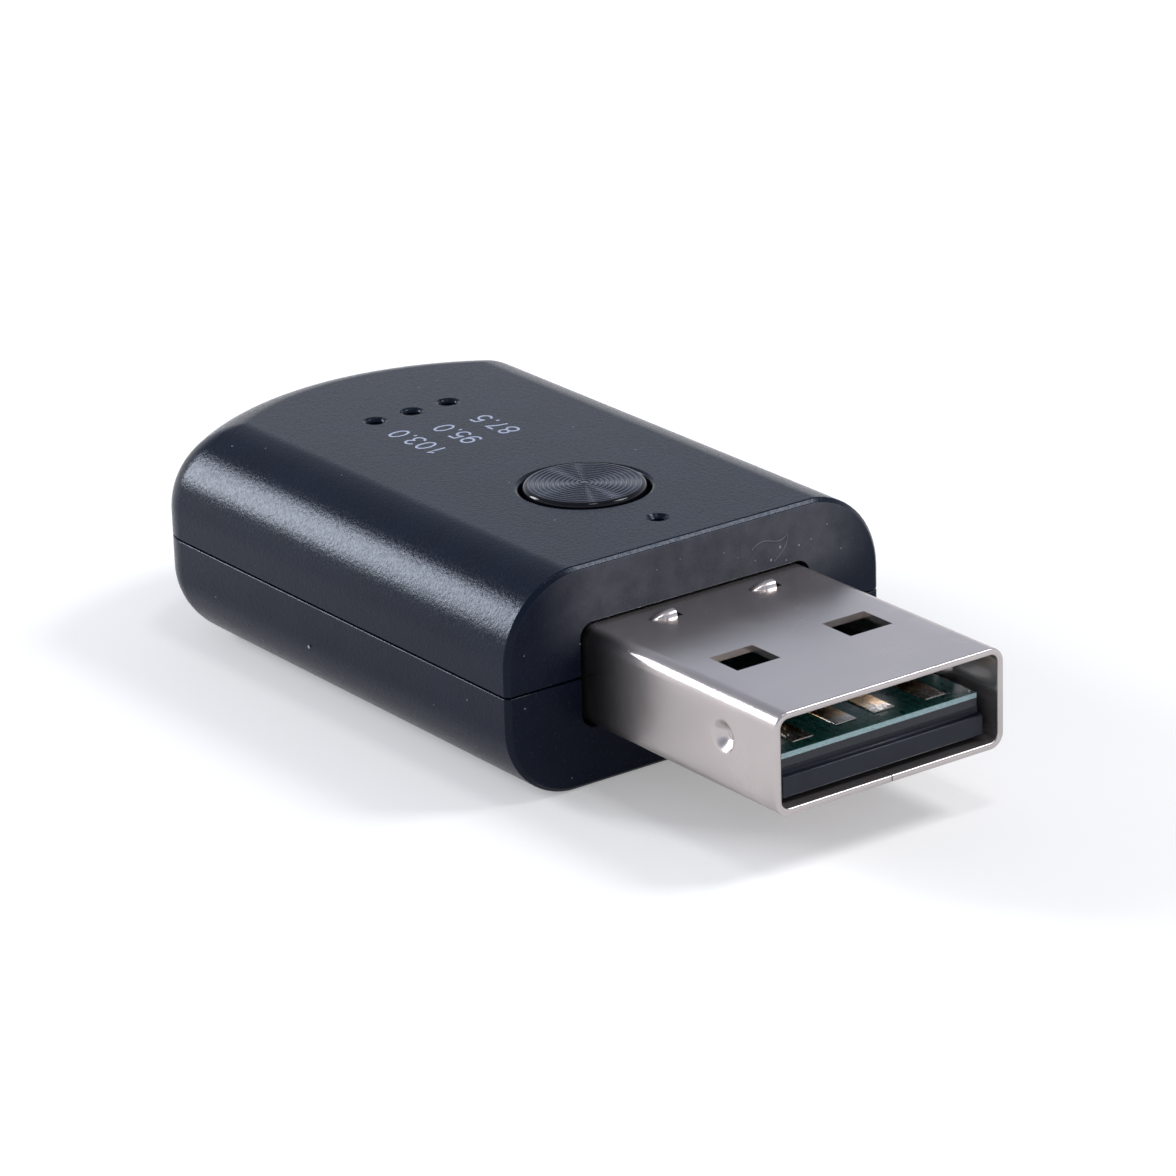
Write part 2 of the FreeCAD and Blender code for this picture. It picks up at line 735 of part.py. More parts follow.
def make_plug_insert():
    """The moulded block that fills the plug below the tongue, stepped at its front top edge."""
    front = s.plug_reach - s.insert_setback
    floor = -PLUG_TOP + s.sheet
    low = floor + s.insert_foot_height
    body = DOC.addObject("PartDesign::Body", "InsertBlock")
    sketch = new_sketch(body, "InsertProfile", "XZ_Plane")
    outline(sketch, [(s.insert_rear, low), (front, low), (front, BOARD_UNDER - s.insert_step),
                     (front - s.insert_step, BOARD_UNDER), (s.insert_rear, BOARD_UNDER)])
    pad(body, sketch, INSERT_HALF * 2, middle=True)
    pieces = [body]
    for name, side in (("Right", -1), ("Left", 1)):
        edges = (side * INSERT_HALF, side * (INSERT_HALF - s.insert_foot_width))
        y = edges if side < 0 else edges[::-1]
        pieces.append(block(name + "Foot", (-s.plug_root, front - s.insert_step), y,
                            (floor, low + s.insert_foot_height)))
    node("plug_insert", join("PlugInsert", pieces))


def make_circuit_board():
    """The board: wide in the housing, with chamfered rear corners and a narrow plug tongue."""
    tongue_end = s.plug_reach - s.tongue_setback
    half = [(BOARD_TAIL, BOARD_HALF - s.board_corner_width), (BOARD_SHOULDER, BOARD_HALF),
            (s.board_front, BOARD_HALF), (s.board_front, TONGUE_HALF), (tongue_end, TONGUE_HALF)]
    body = DOC.addObject("PartDesign::Body", "BoardPlate")
    sketch = new_sketch(body, "BoardOutline", "XY_Plane")
    sketch.setExpression("AttachmentOffset.Base.z", BOARD_UNDER.text)
    outline(sketch, half + [(x, -y) for x, y in reversed(half)])
    pad(body, sketch, s.board_thickness)
    z = (BOARD_UNDER - MARGIN, s.board_top + MARGIN)
    holes = pins("BoardHole", s.pin_radius + s.pin_clearance, z)
    leg_rear = -s.plug_root - s.leg_length - s.slot_clearance
    face = s.plug_width / 2
    for name, side in (("Right", -1), ("Left", 1)):
        edges = (side * (SLEEVE_INSIDE - s.slot_clearance), side * (face + s.slot_clearance))
        y = edges if side > 0 else edges[::-1]
        holes.append(block(name + "LegSlot", (leg_rear, s.board_front + MARGIN), y, z))
    node("circuit_board", cut("CircuitBoard", body, holes))


def make_contacts():
    """Four gold contacts on the tongue: the outer pair reaches further forward."""
    tongue_end = s.plug_reach - s.tongue_setback
    half = s.contact_width / 2
    rows = (("contact_power", -s.contact_spread_outer, s.contact_setback_outer),
            ("contact_data_minus", -s.contact_spread_inner, s.contact_setback_inner),
            ("contact_data_plus", s.contact_spread_inner, s.contact_setback_inner),
            ("contact_ground", s.contact_spread_outer, s.contact_setback_outer))
    for name, y, setback in rows:
        strip = block(name + "_strip", (s.contact_rear, tongue_end - setback), (y - half, y + half),
                      (s.board_top, s.board_top + s.contact_thickness))
        node(name, group(name + "_piece", [strip]))


def make_button_cap():
    """The round cap: rings turned into its face, a bevelled rim, a flange with keys and a stem."""
    top = HALF_HEIGHT + s.cap_proud
    core = s.cap_radius - s.cap_wall
    core_top = top - s.cap_roof
    face = s.cap_radius - s.cap_bevel - s.ring_rim
    pitch = face / (CAP_RINGS + 0.5)
    section = [(0, PLUNGER_TOP), (s.stem_radius, PLUNGER_TOP), (s.stem_radius, core_top),
               (core, core_top), (core, FLANGE_UNDER), (s.flange_radius, FLANGE_UNDER),
               (s.flange_radius, FLANGE_TOP), (s.cap_radius, FLANGE_TOP),
               (s.cap_radius, top - s.cap_bevel), (s.cap_radius - s.cap_bevel, top), (face, top)]
    for ring in range(CAP_RINGS):
        section.append((face - pitch * (ring + 0.5), top - s.ring_depth))
        section.append((face - pitch * (ring + 1), top))
    section.append((0, top))
    keys = block("CapKeys", both(s.key_width / 2), both(GUIDE_OUTER - s.key_clearance),
                 (FLANGE_UNDER, FLANGE_TOP))
    inside = rod("CapKeyGap", s.flange_radius - s.key_clearance, (FLANGE_UNDER, FLANGE_TOP))
    pieces = [turned("CapTurned", section), cut("CapKeyEnds", keys, [inside])]
    node("button_cap", join("ButtonCap", pieces), s.button_x)


def make_switch():
    """The tactile switch: a moulded base, a spring dome, a plunger, a steel cover and feet."""
    half = s.switch_side / 2
    floor = s.board_top + s.switch_floor
    base = block("SwitchBlock", both(half), both(half), (s.board_top, SWITCH_TOP))
    pocket = rod("SwitchPocket", s.switch_pocket_radius, (floor, SWITCH_TOP + MARGIN))
    node("switch_base", cut("SwitchBase", base, [pocket]), s.button_x)

    cover_top = SWITCH_TOP + s.cover_thickness
    tab_half = s.cover_tab_width / 2
    plate = block("CoverPlate", both(half), both(half), (SWITCH_TOP, cover_top))
    tabs = [block("CoverTabRight", both(tab_half), (-half - s.cover_thickness, -half),
                  (SWITCH_TOP - s.cover_tab_drop, cover_top)),
            block("CoverTabLeft", both(tab_half), (half, half + s.cover_thickness),
                  (SWITCH_TOP - s.cover_tab_drop, cover_top))]
    hole = rod("CoverHole", s.cover_hole_radius, (SWITCH_TOP - MARGIN, cover_top + MARGIN))
    node("switch_cover", cut("SwitchCover", join("CoverSheet", [plate, *tabs]), [hole]), s.button_x)

    rim = s.dome_half_side
    crown = rim / 3
    disc = join("DomeSolids", [
        block("DomeRim", both(rim), both(rim), (floor, floor + s.dome_sheet)),
        hipped_block("DomeCrown", rim, crown, s.dome_rise, floor + s.dome_sheet),
    ])
    under = hipped_block("DomeUnder", rim - s.dome_sheet * 2, crown - s.dome_sheet, s.dome_rise,
                         floor)
    node("switch_dome", cut("SwitchDome", disc, [under]), s.button_x)

    flange_top = SWITCH_TOP - s.plunger_play
    flange_under = flange_top - s.plunger_flange_thickness
    plunger = turned("SwitchPlunger", [(0, flange_under), (s.plunger_flange_radius, flange_under),
                                       (s.plunger_flange_radius, flange_top),
                                       (s.stem_radius, flange_top), (s.stem_radius, PLUNGER_TOP),
                                       (0, PLUNGER_TOP)])
    node("switch_plunger", plunger, s.button_x)

    feet = []
    for name, side in (("Right", -1), ("Left", 1)):
        edges = (side * half, side * (half + s.terminal_reach))
        y = edges if side > 0 else edges[::-1]
        for end_name, end in (("Rear", -1), ("Front", 1)):
            x = end * (half - s.terminal_width)
            feet.append(block(f"Terminal{name}{end_name}",
                              (x - s.terminal_width / 2, x + s.terminal_width / 2), y,
                              (s.board_top, s.board_top + s.terminal_thickness)))
    node("switch_terminals", group("SwitchTerminals", feet), s.button_x)


def make_lamps():
    """Three surface lamps: a white base with a clear lens, each under its hole."""
    for index, name in enumerate(("right", "middle", "left")):
        y = s.led_pitch * (index - 1)
        base = block(f"LampBase{index}", both(s.led_length / 2), both(s.led_width / 2),
                     (s.board_top, s.board_top + s.led_base))
        lens = block(f"LampLens{index}", both(s.lens_length / 2), both(s.led_width / 2),
                     (s.board_top, s.board_top + s.led_height))
        node(f"status_lamp_{name}", join(f"StatusLamp{index}", [base, lens]), s.led_x, y)


def make_microphone():
    """The microphone's can with its port, and the square rubber tube that seals it to the roof."""
    top = s.board_top + s.mic_height
    can = block("MicCan", both(s.mic_length / 2), both(s.mic_width / 2), (s.board_top, top))
    port = prism("MicPort", 8, s.mic_port_radius, (top - s.mic_height / 2, top + MARGIN))
    node("microphone", cut("Microphone", can, [port]), s.mic_x)
    tube = block("GasketTube", both(s.gasket_half_side), both(s.gasket_half_side), (top, CEILING))
    bore = block("GasketBore", both(s.gasket_bore_half_side), both(s.gasket_bore_half_side),
                 (top - MARGIN, CEILING + MARGIN))
    node("microphone_gasket", cut("MicrophoneGasket", tube, [bore]), s.mic_x)


def make_radio_chip():
    """The radio chip's moulded body, and its two rows of bent leads."""
    low = s.board_top + s.chip_lift
    high = low + s.chip_thickness
    middle = (low + high) / 2
    edge = s.chip_length / 2
    drawn = edge - s.chip_draft
    body = DOC.addObject("PartDesign::Body", "RadioChip")
    sketch = new_sketch(body, "ChipProfile", "XZ_Plane")
    outline(sketch, [(-drawn, low), (drawn, low), (edge, middle), (drawn, high), (-drawn, high),
                     (-edge, middle)])
    pad(body, sketch, s.chip_width, middle=True)
    node("radio_chip", body, s.chip_x)

    leads = []
    half = s.lead_width / 2
    row = s.chip_width - s.lead_width - s.lead_end_gap * 2
    for side_name, side in (("Rear", -1), ("Front", 1)):
        knee = edge + s.lead_reach - s.lead_foot
        spans = (
            ((edge, knee + s.lead_thickness), (middle - s.lead_thickness / 2,
                                               middle + s.lead_thickness / 2)),
            ((knee, knee + s.lead_thickness), (s.board_top, middle + s.lead_thickness / 2)),
            ((knee, edge + s.lead_reach), (s.board_top, s.board_top + s.lead_thickness)),
        )
        for index, y in enumerate(evenly(row, s.lead_pitch)):
            name = f"Lead{side_name}{index}"
            bars = []
            for number, (x, z) in enumerate(spans):
                x = x if side > 0 else (-x[1], -x[0])
                bars.append(block(f"{name}Bar{number}", x, (y - half, y + half), z))
            leads.append(join(name, bars))
    node("radio_chip_leads", group("RadioChipLeads", leads), s.chip_x)


def make_entry_parts():
    """The crystal's can and the voltage regulator, either side of the microphone."""
    can = block("CrystalCan", both(s.crystal_length / 2), both(s.crystal_width / 2),
                (s.board_top, s.board_top + s.crystal_height))
    node("crystal", group("Crystal", [can]), s.entry_part_x, s.entry_part_y)

    pieces = [block("RegulatorBody", both(s.regulator_length / 2), both(s.regulator_width / 2),
                    (s.board_top, s.board_top + s.regulator_height))]
    reach = s.regulator_width / 2 + s.lead_foot
    for name, x, y in (("Right", 1, (-reach, 0)), ("Left", -1, (-reach, 0)), ("Back", 0, (0, reach))):
        centre = s.regulator_lead_pitch * x
        pieces.append(block(f"RegulatorLead{name}",
                            (centre - s.lead_width / 2, centre + s.lead_width / 2), y,
                            (s.board_top, s.board_top + s.lead_thickness)))
    node("voltage_regulator", join("VoltageRegulator", pieces), s.entry_part_x, -s.entry_part_y)


def make_supply_parts():
    """The wound inductor and the bulk capacitor, either side of the switch."""
    half = s.inductor_side / 2
    top = s.board_top + s.inductor_height
    low_plate = (s.board_top, s.board_top + s.inductor_plate)
    high_plate = (top - s.inductor_plate, top)
    drum = [block("DrumFoot", both(half), both(half), low_plate),
            block("DrumHead", both(half), both(half), high_plate),
            prism("DrumCore", 16, s.inductor_core_radius, (s.board_top, top))]
    node("inductor_core", join("InductorCore", drum), s.supply_x, SUPPLY_Y)
    coil = prism("CoilOutside", 16, s.winding_radius, (low_plate[1], high_plate[0]))
    bore = prism("CoilInside", 16, s.inductor_core_radius, (s.board_top, top))
    node("inductor_winding", cut("InductorWinding", coil, [bore]), s.supply_x, SUPPLY_Y)

    length = s.capacitor_length / 2
    tab_half = s.capacitor_width / 3
    body = block("CapacitorBody", both(length - s.capacitor_tab), both(s.capacitor_width / 2),
                 (s.board_top + s.capacitor_tab, s.board_top + s.capacitor_height))
    tabs = [block("CapacitorTabRear", (-length, -length / 2), both(tab_half),
                  (s.board_top, s.board_top + s.capacitor_height / 2)),
            block("CapacitorTabFront", (length / 2, length), both(tab_half),
                  (s.board_top, s.board_top + s.capacitor_height / 2))]
    node("bulk_capacitor", join("BulkCapacitor", [body, *tabs]), s.supply_x, -SUPPLY_Y)


def make_small_parts():
    """The aerial chip at the tail, and two rows of small ceramic capacitors and resistors."""
    aerial = block("AerialBlock", both(s.antenna_length / 2), both(s.antenna_width / 2),
                   (s.board_top, s.board_top + s.antenna_height))
    node("chip_antenna", group("ChipAntenna", [aerial]), s.antenna_x)
    half = s.small_part_width / 2
    z = (s.board_top, s.board_top + s.small_part_height)
    rows = (("ceramic_capacitors", "Ceramic", s.ceramic_row_x),
            ("resistors", "Resistor", s.resistor_row_x))
    length = s.small_part_length / 2
    row = (BOARD_HALF - s.row_end_gap - length) * 2
    for name, title, x in rows:
        pieces = [block(f"{title}{index}", both(half), (y - length, y + length), z)
                  for index, y in enumerate(evenly(row, s.small_part_pitch))]
        node(name, group(title + "Row", pieces), x)


def check(things):
    failed = [f"{thing.Name}: {thing.State}" for thing in things
              if {"Invalid", "Error"} & set(thing.State)]
    if failed:
        raise RuntimeError("; ".join(failed))
    for thing in NODES:
        if thing.Shape.isNull() or not thing.Shape.isValid() or not thing.Shape.Solids:
            raise RuntimeError(f"{thing.Label} has no sound solid")


def main():
    outer = outer_form()
    cavity = cavity_form()
    walls = cut("Walls", outer, [cavity])
    make_top_shell(outer, walls, cavity)
    make_bottom_shell(outer, walls, cavity)
    make_usb_sleeve()
    make_plug_insert()
    make_circuit_board()
    make_contacts()
    make_button_cap()
    make_switch()
    make_lamps()
    make_microphone()
    make_radio_chip()
    make_entry_parts()
    make_supply_parts()
    make_small_parts()
    DOC.recompute()
    check(DOC.Objects)
    os.makedirs("parts", exist_ok=True)
    for thing in NODES:
        thing.Shape.exportStep(f"parts/{thing.Label}.step")
        print(f"{thing.Label}: {len(thing.Shape.Solids)} solids, {thing.Shape.Volume:.3f} mm3")


main()
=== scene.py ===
"""Looks of a car FM transmitter on a USB plug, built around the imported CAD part. Metres, Z up."""
import math
import random

import bmesh
import bpy
from mathutils import Matrix, Vector


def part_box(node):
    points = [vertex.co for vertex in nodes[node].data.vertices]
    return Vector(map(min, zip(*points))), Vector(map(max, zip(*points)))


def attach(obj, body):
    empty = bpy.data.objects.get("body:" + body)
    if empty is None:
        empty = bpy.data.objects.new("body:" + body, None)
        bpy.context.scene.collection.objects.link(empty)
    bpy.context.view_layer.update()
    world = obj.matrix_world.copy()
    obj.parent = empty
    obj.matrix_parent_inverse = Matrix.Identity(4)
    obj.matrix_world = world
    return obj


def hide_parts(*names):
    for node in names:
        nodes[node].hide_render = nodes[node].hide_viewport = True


MM = 0.001

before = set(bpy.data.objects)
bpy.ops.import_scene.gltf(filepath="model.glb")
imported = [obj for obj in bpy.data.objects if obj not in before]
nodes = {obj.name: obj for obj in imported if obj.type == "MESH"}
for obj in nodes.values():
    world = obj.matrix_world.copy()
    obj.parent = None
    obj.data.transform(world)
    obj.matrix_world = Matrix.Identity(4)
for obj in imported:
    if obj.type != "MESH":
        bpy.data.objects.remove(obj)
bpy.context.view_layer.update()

# The drawing's own origin in the row frame: X at the housing's front face, Z on the plug's axis.
PLUG_HALF_HEIGHT = 2.25
SLEEVE_LOW, SLEEVE_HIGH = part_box("usb_sleeve")
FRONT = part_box("top_shell")[1].x / MM
AXIS = SLEEVE_LOW.z / MM + PLUG_HALF_HEIGHT
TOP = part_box("top_shell")[1].z / MM
CONTACT_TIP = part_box("contact_data_plus")[1].x
CAP_LOW, CAP_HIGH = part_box("button_cap")
BUTTON_X = (CAP_LOW.x + CAP_HIGH.x) / 2


def at(x, y, z):
    """A point given in millimetres from the front face, the middle and the plug's axis."""
    return Vector(((x + FRONT) * MM, y * MM, (z + AXIS) * MM))


# Node graphs

def new_material(name):
    material = bpy.data.materials.new(name)
    material.use_nodes = True
    tree = material.node_tree
    return material, tree, tree.nodes["Principled BSDF"]


def put(tree, socket, value):
    """Links a socket to a socket, or sets a plain value on it."""
    if isinstance(value, bpy.types.NodeSocket):
        tree.links.new(value, socket)
    else:
        socket.default_value = value


def add(tree, kind, **sockets):
    """A new node, its inputs set by name with an underscore for each space."""
    made = tree.nodes.new(kind)
    for key, value in sockets.items():
        put(tree, made.inputs[key.replace("_", " ")], value)
    return made


def colour(*rgb):
    return (*rgb, 1.0)


def grey(value):
    return (value, value, value, 1.0)


def scaled(base, share):
    return tuple(min(1.0, c * share) for c in base)


def place_of(tree, stretch=(1, 1, 1)):
    """The point on the object, with an optional stretch of its axes."""
    spot = add(tree, "ShaderNodeTexCoord").outputs["Object"]
    if tuple(stretch) == (1, 1, 1):
        return spot
    mapping = add(tree, "ShaderNodeMapping", Vector=spot)
    mapping.inputs["Scale"].default_value = stretch
    return mapping.outputs["Vector"]


def facing(tree, kind="True Normal"):
    return add(tree, "ShaderNodeNewGeometry").outputs[kind]


def split_xyz(tree, vector):
    parts = add(tree, "ShaderNodeSeparateXYZ", Vector=vector).outputs
    return parts["X"], parts["Y"], parts["Z"]


def noise(tree, grain_mm, detail=2.0, spot=None, rough=0.5):
    """Noise from 0 to 1, with grains of a given size."""
    made = add(tree, "ShaderNodeTexNoise", Scale=1 / (grain_mm * MM), Detail=detail,
               Roughness=rough)
    put(tree, made.inputs["Vector"], spot or place_of(tree))
    return made.outputs["Fac"]


def ramp(tree, value, *stops):
    """Colours between stops, each a place from 0 to 1 and a colour."""
    made = add(tree, "ShaderNodeValToRGB")
    put(tree, made.inputs["Fac"], value)
    bar = made.color_ramp
    while len(bar.elements) < len(stops):
        bar.elements.new(0.5)
    for element, (place, shade) in zip(bar.elements, stops):
        element.position = place
        element.color = shade if len(shade) == 4 else (*shade, 1.0)
    return made.outputs["Color"]


def maths(tree, operation, a, b=None, clamp=False):
    made = tree.nodes.new("ShaderNodeMath")
    made.operation = operation
    made.use_clamp = clamp
    put(tree, made.inputs[0], a)
    if b is not None:
        put(tree, made.inputs[1], b)
    return made.outputs[0]


def product(tree, first, *others, clamp=False):
    """The product of several values; only the last step is clamped."""
    for other in others[:-1]:
        first = maths(tree, "MULTIPLY", first, other)
    return maths(tree, "MULTIPLY", first, others[-1], clamp)


def rise(tree, value, start, end, eased=True):
    """0 where the value is at its start and 1 at its end, held beyond both."""
    made = add(tree, "ShaderNodeMapRange", Value=value)
    if eased:
        made.interpolation_type = "SMOOTHSTEP"
    made.inputs["From Min"].default_value = start
    made.inputs["From Max"].default_value = end
    return made.outputs["Result"]


def blend_colour(tree, factor, a, b):
    made = tree.nodes.new("ShaderNodeMix")
    made.data_type = "RGBA"
    put(tree, made.inputs["Factor"], factor)
    sockets = [i for i in made.inputs if i.type == "RGBA"]
    put(tree, sockets[0], a)
    put(tree, sockets[1], b)
    return next(o for o in made.outputs if o.type == "RGBA")


def bump(tree, shader, height, depth_mm, strength=1.0, under=None):
    made = add(tree, "ShaderNodeBump", Height=height, Strength=strength, Distance=depth_mm * MM)
    if under is not None:
        put(tree, made.inputs["Normal"], under)
    put(tree, shader.inputs["Normal"], made.outputs["Normal"])
    return made.outputs["Normal"]


# Finishes

MOTTLE = 0.18
ROUGH_SPREAD, ROUGH_LEAST = 0.06, 0.02


def plain(name, base, rough, metallic=0.0, grain_mm=0.3, grain_depth=0.004, specular=0.5):
    """A plain moulded, cast or rolled finish: mottled colour, uneven gloss and a fine grain."""
    material, tree, shader = new_material(name)
    shader.inputs["Metallic"].default_value = metallic
    shader.inputs["Specular IOR Level"].default_value = specular
    patches = noise(tree, grain_mm * 6, 3.0)
    put(tree, shader.inputs["Base Color"],
        ramp(tree, patches, (0.35, scaled(base, 1 - MOTTLE)), (0.65, scaled(base, 1 + MOTTLE))))
    glossy, dull = max(ROUGH_LEAST, rough - ROUGH_SPREAD), min(1.0, rough + ROUGH_SPREAD)
    put(tree, shader.inputs["Roughness"],
        ramp(tree, noise(tree, grain_mm * 3, 2.0), (0.3, grey(glossy)), (0.7, grey(dull))))
    bump(tree, shader, noise(tree, grain_mm, 2.0), grain_depth)
    return material


# The housing's grain, its specks of dust, and painted light on its front face above the plug,
# standing for light bounced up from the plug's steel,
# with the places between which it grows: upwards from the axis, and inwards from either side
COARSE_GRAIN, COARSE_DEPTH = 0.15, 0.012
FINE_GRAIN, FINE_DEPTH = 0.06, 0.0045
SPECK_PITCH, SPECK_RADIUS, SPECK_BARE = 0.9, 0.045, 0.56
SPECK_COLOUR = (0.42, 0.42, 0.45)
BOUNCE_UP, BOUNCE_RIGHT, BOUNCE_LEFT = (0.6, 2.6), (-8.8, -4.8), (10.2, 6.4)
BOUNCE_BLUE = 1.12


def spark_eroded(name, base, rough, dust, specular, tint, bounce_level):
    """Moulded plastic with the fine frosted grain of a spark-eroded tool, a little dust, and
    painted bounced light on its front.
    """
    material, tree, shader = new_material(name)
    shader.inputs["Specular IOR Level"].default_value = specular
    shader.inputs["Specular Tint"].default_value = colour(*tint)
    body = ramp(tree, noise(tree, 2.5, 4.0), (0.3, scaled(base, 0.85)), (0.7, scaled(base, 1.15)))

    cells = add(tree, "ShaderNodeTexVoronoi", Scale=1 / (SPECK_PITCH * MM))
    put(tree, cells.inputs["Vector"], place_of(tree))
    near = maths(tree, "LESS_THAN", cells.outputs["Distance"], SPECK_RADIUS)
    chosen = maths(tree, "GREATER_THAN", noise(tree, 1.3, 1.0), SPECK_BARE)
    body = blend_colour(tree, product(tree, near, chosen, dust, clamp=True), body,
                        colour(*SPECK_COLOUR))

    # Painted light: a pale cloudy patch on the front face above the plug stands for light bounced
    # up from the plug's steel
    x, y, z = split_xyz(tree, place_of(tree))
    ahead = maths(tree, "GREATER_THAN", split_xyz(tree, facing(tree))[0], 0.9)
    on_front = maths(tree, "GREATER_THAN", x, (FRONT - 0.1) * MM)
    cloudy = ramp(tree, noise(tree, 0.8, 4.0), (0.3, grey(0.66)), (0.7, grey(1.0)))
    painted_bounce = product(tree, rise(tree, z, *((AXIS + edge) * MM for edge in BOUNCE_UP)),
                      rise(tree, y, *(edge * MM for edge in BOUNCE_RIGHT)),
                      rise(tree, y, *(edge * MM for edge in BOUNCE_LEFT)),
                      ahead, on_front, cloudy, clamp=True)
    put(tree, shader.inputs["Base Color"],
        blend_colour(tree, painted_bounce, body, colour(bounce_level, bounce_level, bounce_level * BOUNCE_BLUE)))

    coarse = noise(tree, COARSE_GRAIN, 2.0)
    put(tree, shader.inputs["Roughness"],
        ramp(tree, coarse, (0.35, grey(rough - 0.05)), (0.65, grey(rough + 0.06))))
    first = bump(tree, shader, coarse, COARSE_DEPTH, 0.8)
    bump(tree, shader, noise(tree, FINE_GRAIN, 2.0, rough=0.6), FINE_DEPTH, 0.9, first)
    return material


# A painted dark reflection of the housing at the foot of the sleeve's flanks: the places along X,
# counted from the housing, between which it grows, and how far sideways a flank faces
FOOT_CLEAR, FOOT_DARK, FOOT_SHARE = 4.0, 0.4, 0.88
FOOT_TURN = (0.15, 0.75)
FOOT_REFLECTION_COLOUR = (0.012, 0.012, 0.014)
ROLLED_GRAIN, ROLLED_DEPTH = 0.09, 0.0008


def satin_steel(name, base, rough, edge_tint=1.0):
    """Rolled steel with a satin nickel face, fine marks across the plug and a painted dark
    reflection of the housing at its foot.
    """
    material, tree, shader = new_material(name)
    shader.inputs["Metallic"].default_value = 0.9
    shader.inputs["Specular Tint"].default_value = grey(edge_tint)
    shader.inputs["Anisotropic"].default_value = 0.25
    smudges = noise(tree, 3.0, 2.0)
    clean = ramp(tree, smudges, (0.3, scaled(base, 0.96)), (0.7, scaled(base, 1.04)))
    sideways = maths(tree, "ABSOLUTE", split_xyz(tree, facing(tree, "Normal"))[1])
    along = split_xyz(tree, place_of(tree))[0]
    foot = rise(tree, along, (FRONT + FOOT_CLEAR) * MM, (FRONT + FOOT_DARK) * MM)
    # Painted reflection: the flanks darken towards the housing, as if they mirrored its dark front
    # face
    painted_reflection = product(tree, foot, rise(tree, sideways, *FOOT_TURN), FOOT_SHARE)
    put(tree, shader.inputs["Base Color"],
        blend_colour(tree, painted_reflection, clean, colour(*FOOT_REFLECTION_COLOUR)))
    put(tree, shader.inputs["Roughness"],
        ramp(tree, smudges, (0.3, grey(rough - 0.02)), (0.7, grey(rough + 0.03))))
    bump(tree, shader, noise(tree, ROLLED_GRAIN, 2.0, place_of(tree, (1, 0.1, 0.1))),
         ROLLED_DEPTH, 0.5)
    return material


GLASS_AND_HIGHLIGHT_BAND = 0.23
TRACK_PITCH = 1.6


def laminate(name):
    """Circuit board: green lacquer over faint tracks; on its cut edges a pale fibreglass band at
    the top with a painted highlight, and painted shade below it.
    """
    material, tree, shader = new_material(name)
    upright = maths(tree, "ABSOLUTE", split_xyz(tree, facing(tree))[2])
    flat = maths(tree, "GREATER_THAN", upright, 0.7)
    bricks = add(tree, "ShaderNodeTexBrick", Scale=1 / (TRACK_PITCH * MM),
                 Color1=colour(0.006, 0.045, 0.04), Color2=colour(0.009, 0.06, 0.05),
                 Mortar=colour(0.012, 0.085, 0.07))
    bricks.inputs["Mortar Size"].default_value = 0.05
    put(tree, bricks.inputs["Vector"], place_of(tree))
    glass_and_highlight = ramp(tree, noise(tree, 0.12, 3.0, place_of(tree, (1, 1, 3))),
                 (0.3, (0.20, 0.32, 0.33)), (0.7, (0.40, 0.54, 0.55)))
    height = split_xyz(tree, place_of(tree))[2]
    in_lit_band = maths(tree, "GREATER_THAN", height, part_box("circuit_board")[1].z - GLASS_AND_HIGHLIGHT_BAND * MM)
    # The cut edge's top band is pale fibreglass brightened as a painted highlight; below it the
    # edge is painted near-black shade
    edge = blend_colour(tree, in_lit_band, colour(0.012, 0.014, 0.022), glass_and_highlight)
    put(tree, shader.inputs["Base Color"],
        blend_colour(tree, flat, edge, bricks.outputs["Color"]))
    put(tree, shader.inputs["Roughness"],
        ramp(tree, noise(tree, 0.8, 2.0), (0.3, grey(0.22)), (0.7, grey(0.36))))
    bump(tree, shader, bricks.outputs["Fac"], 0.012, 0.5)
    return material


# How far back from a contact's tip the pale tips (partly wear, partly a painted glint) start and
# are full, and how strong they are
WEAR_GLINT_START, WEAR_GLINT_FULL, WEAR_GLINT_GAIN = 1.5, 0.2, 1.9


def gold(name):
    """Gold plate over nickel in a dim brown that paints the shade inside the plug, pale at the
    tips: partly wear where a socket's springs rub along it, partly a painted glint.
    """
    material, tree, shader = new_material(name)
    shader.inputs["Metallic"].default_value = 1.0
    wear_glint_noise = noise(tree, 0.3, 3.0, place_of(tree, (0.5, 1, 1)))
    along = split_xyz(tree, place_of(tree))[0]
    tip = rise(tree, along, CONTACT_TIP - WEAR_GLINT_START * MM, CONTACT_TIP - WEAR_GLINT_FULL * MM, False)
    wear_and_glint = maths(tree, "MULTIPLY", tip, maths(tree, "MULTIPLY", wear_glint_noise, WEAR_GLINT_GAIN), clamp=True)
    # Painted shade and highlight: the dim brown stands for shade inside the plug, and the
    # near-white at the tips is partly wear, partly painted glints
    put(tree, shader.inputs["Base Color"],
        ramp(tree, wear_and_glint, (0.2, (0.36, 0.22, 0.10)), (0.55, (0.80, 0.60, 0.38)),
             (0.85, (0.95, 0.92, 0.88))))
    put(tree, shader.inputs["Roughness"], ramp(tree, wear_glint_noise, (0.3, grey(0.18)), (0.7, grey(0.34))))
    bump(tree, shader, noise(tree, 0.09, 2.0), 0.002, 0.6)
    return material


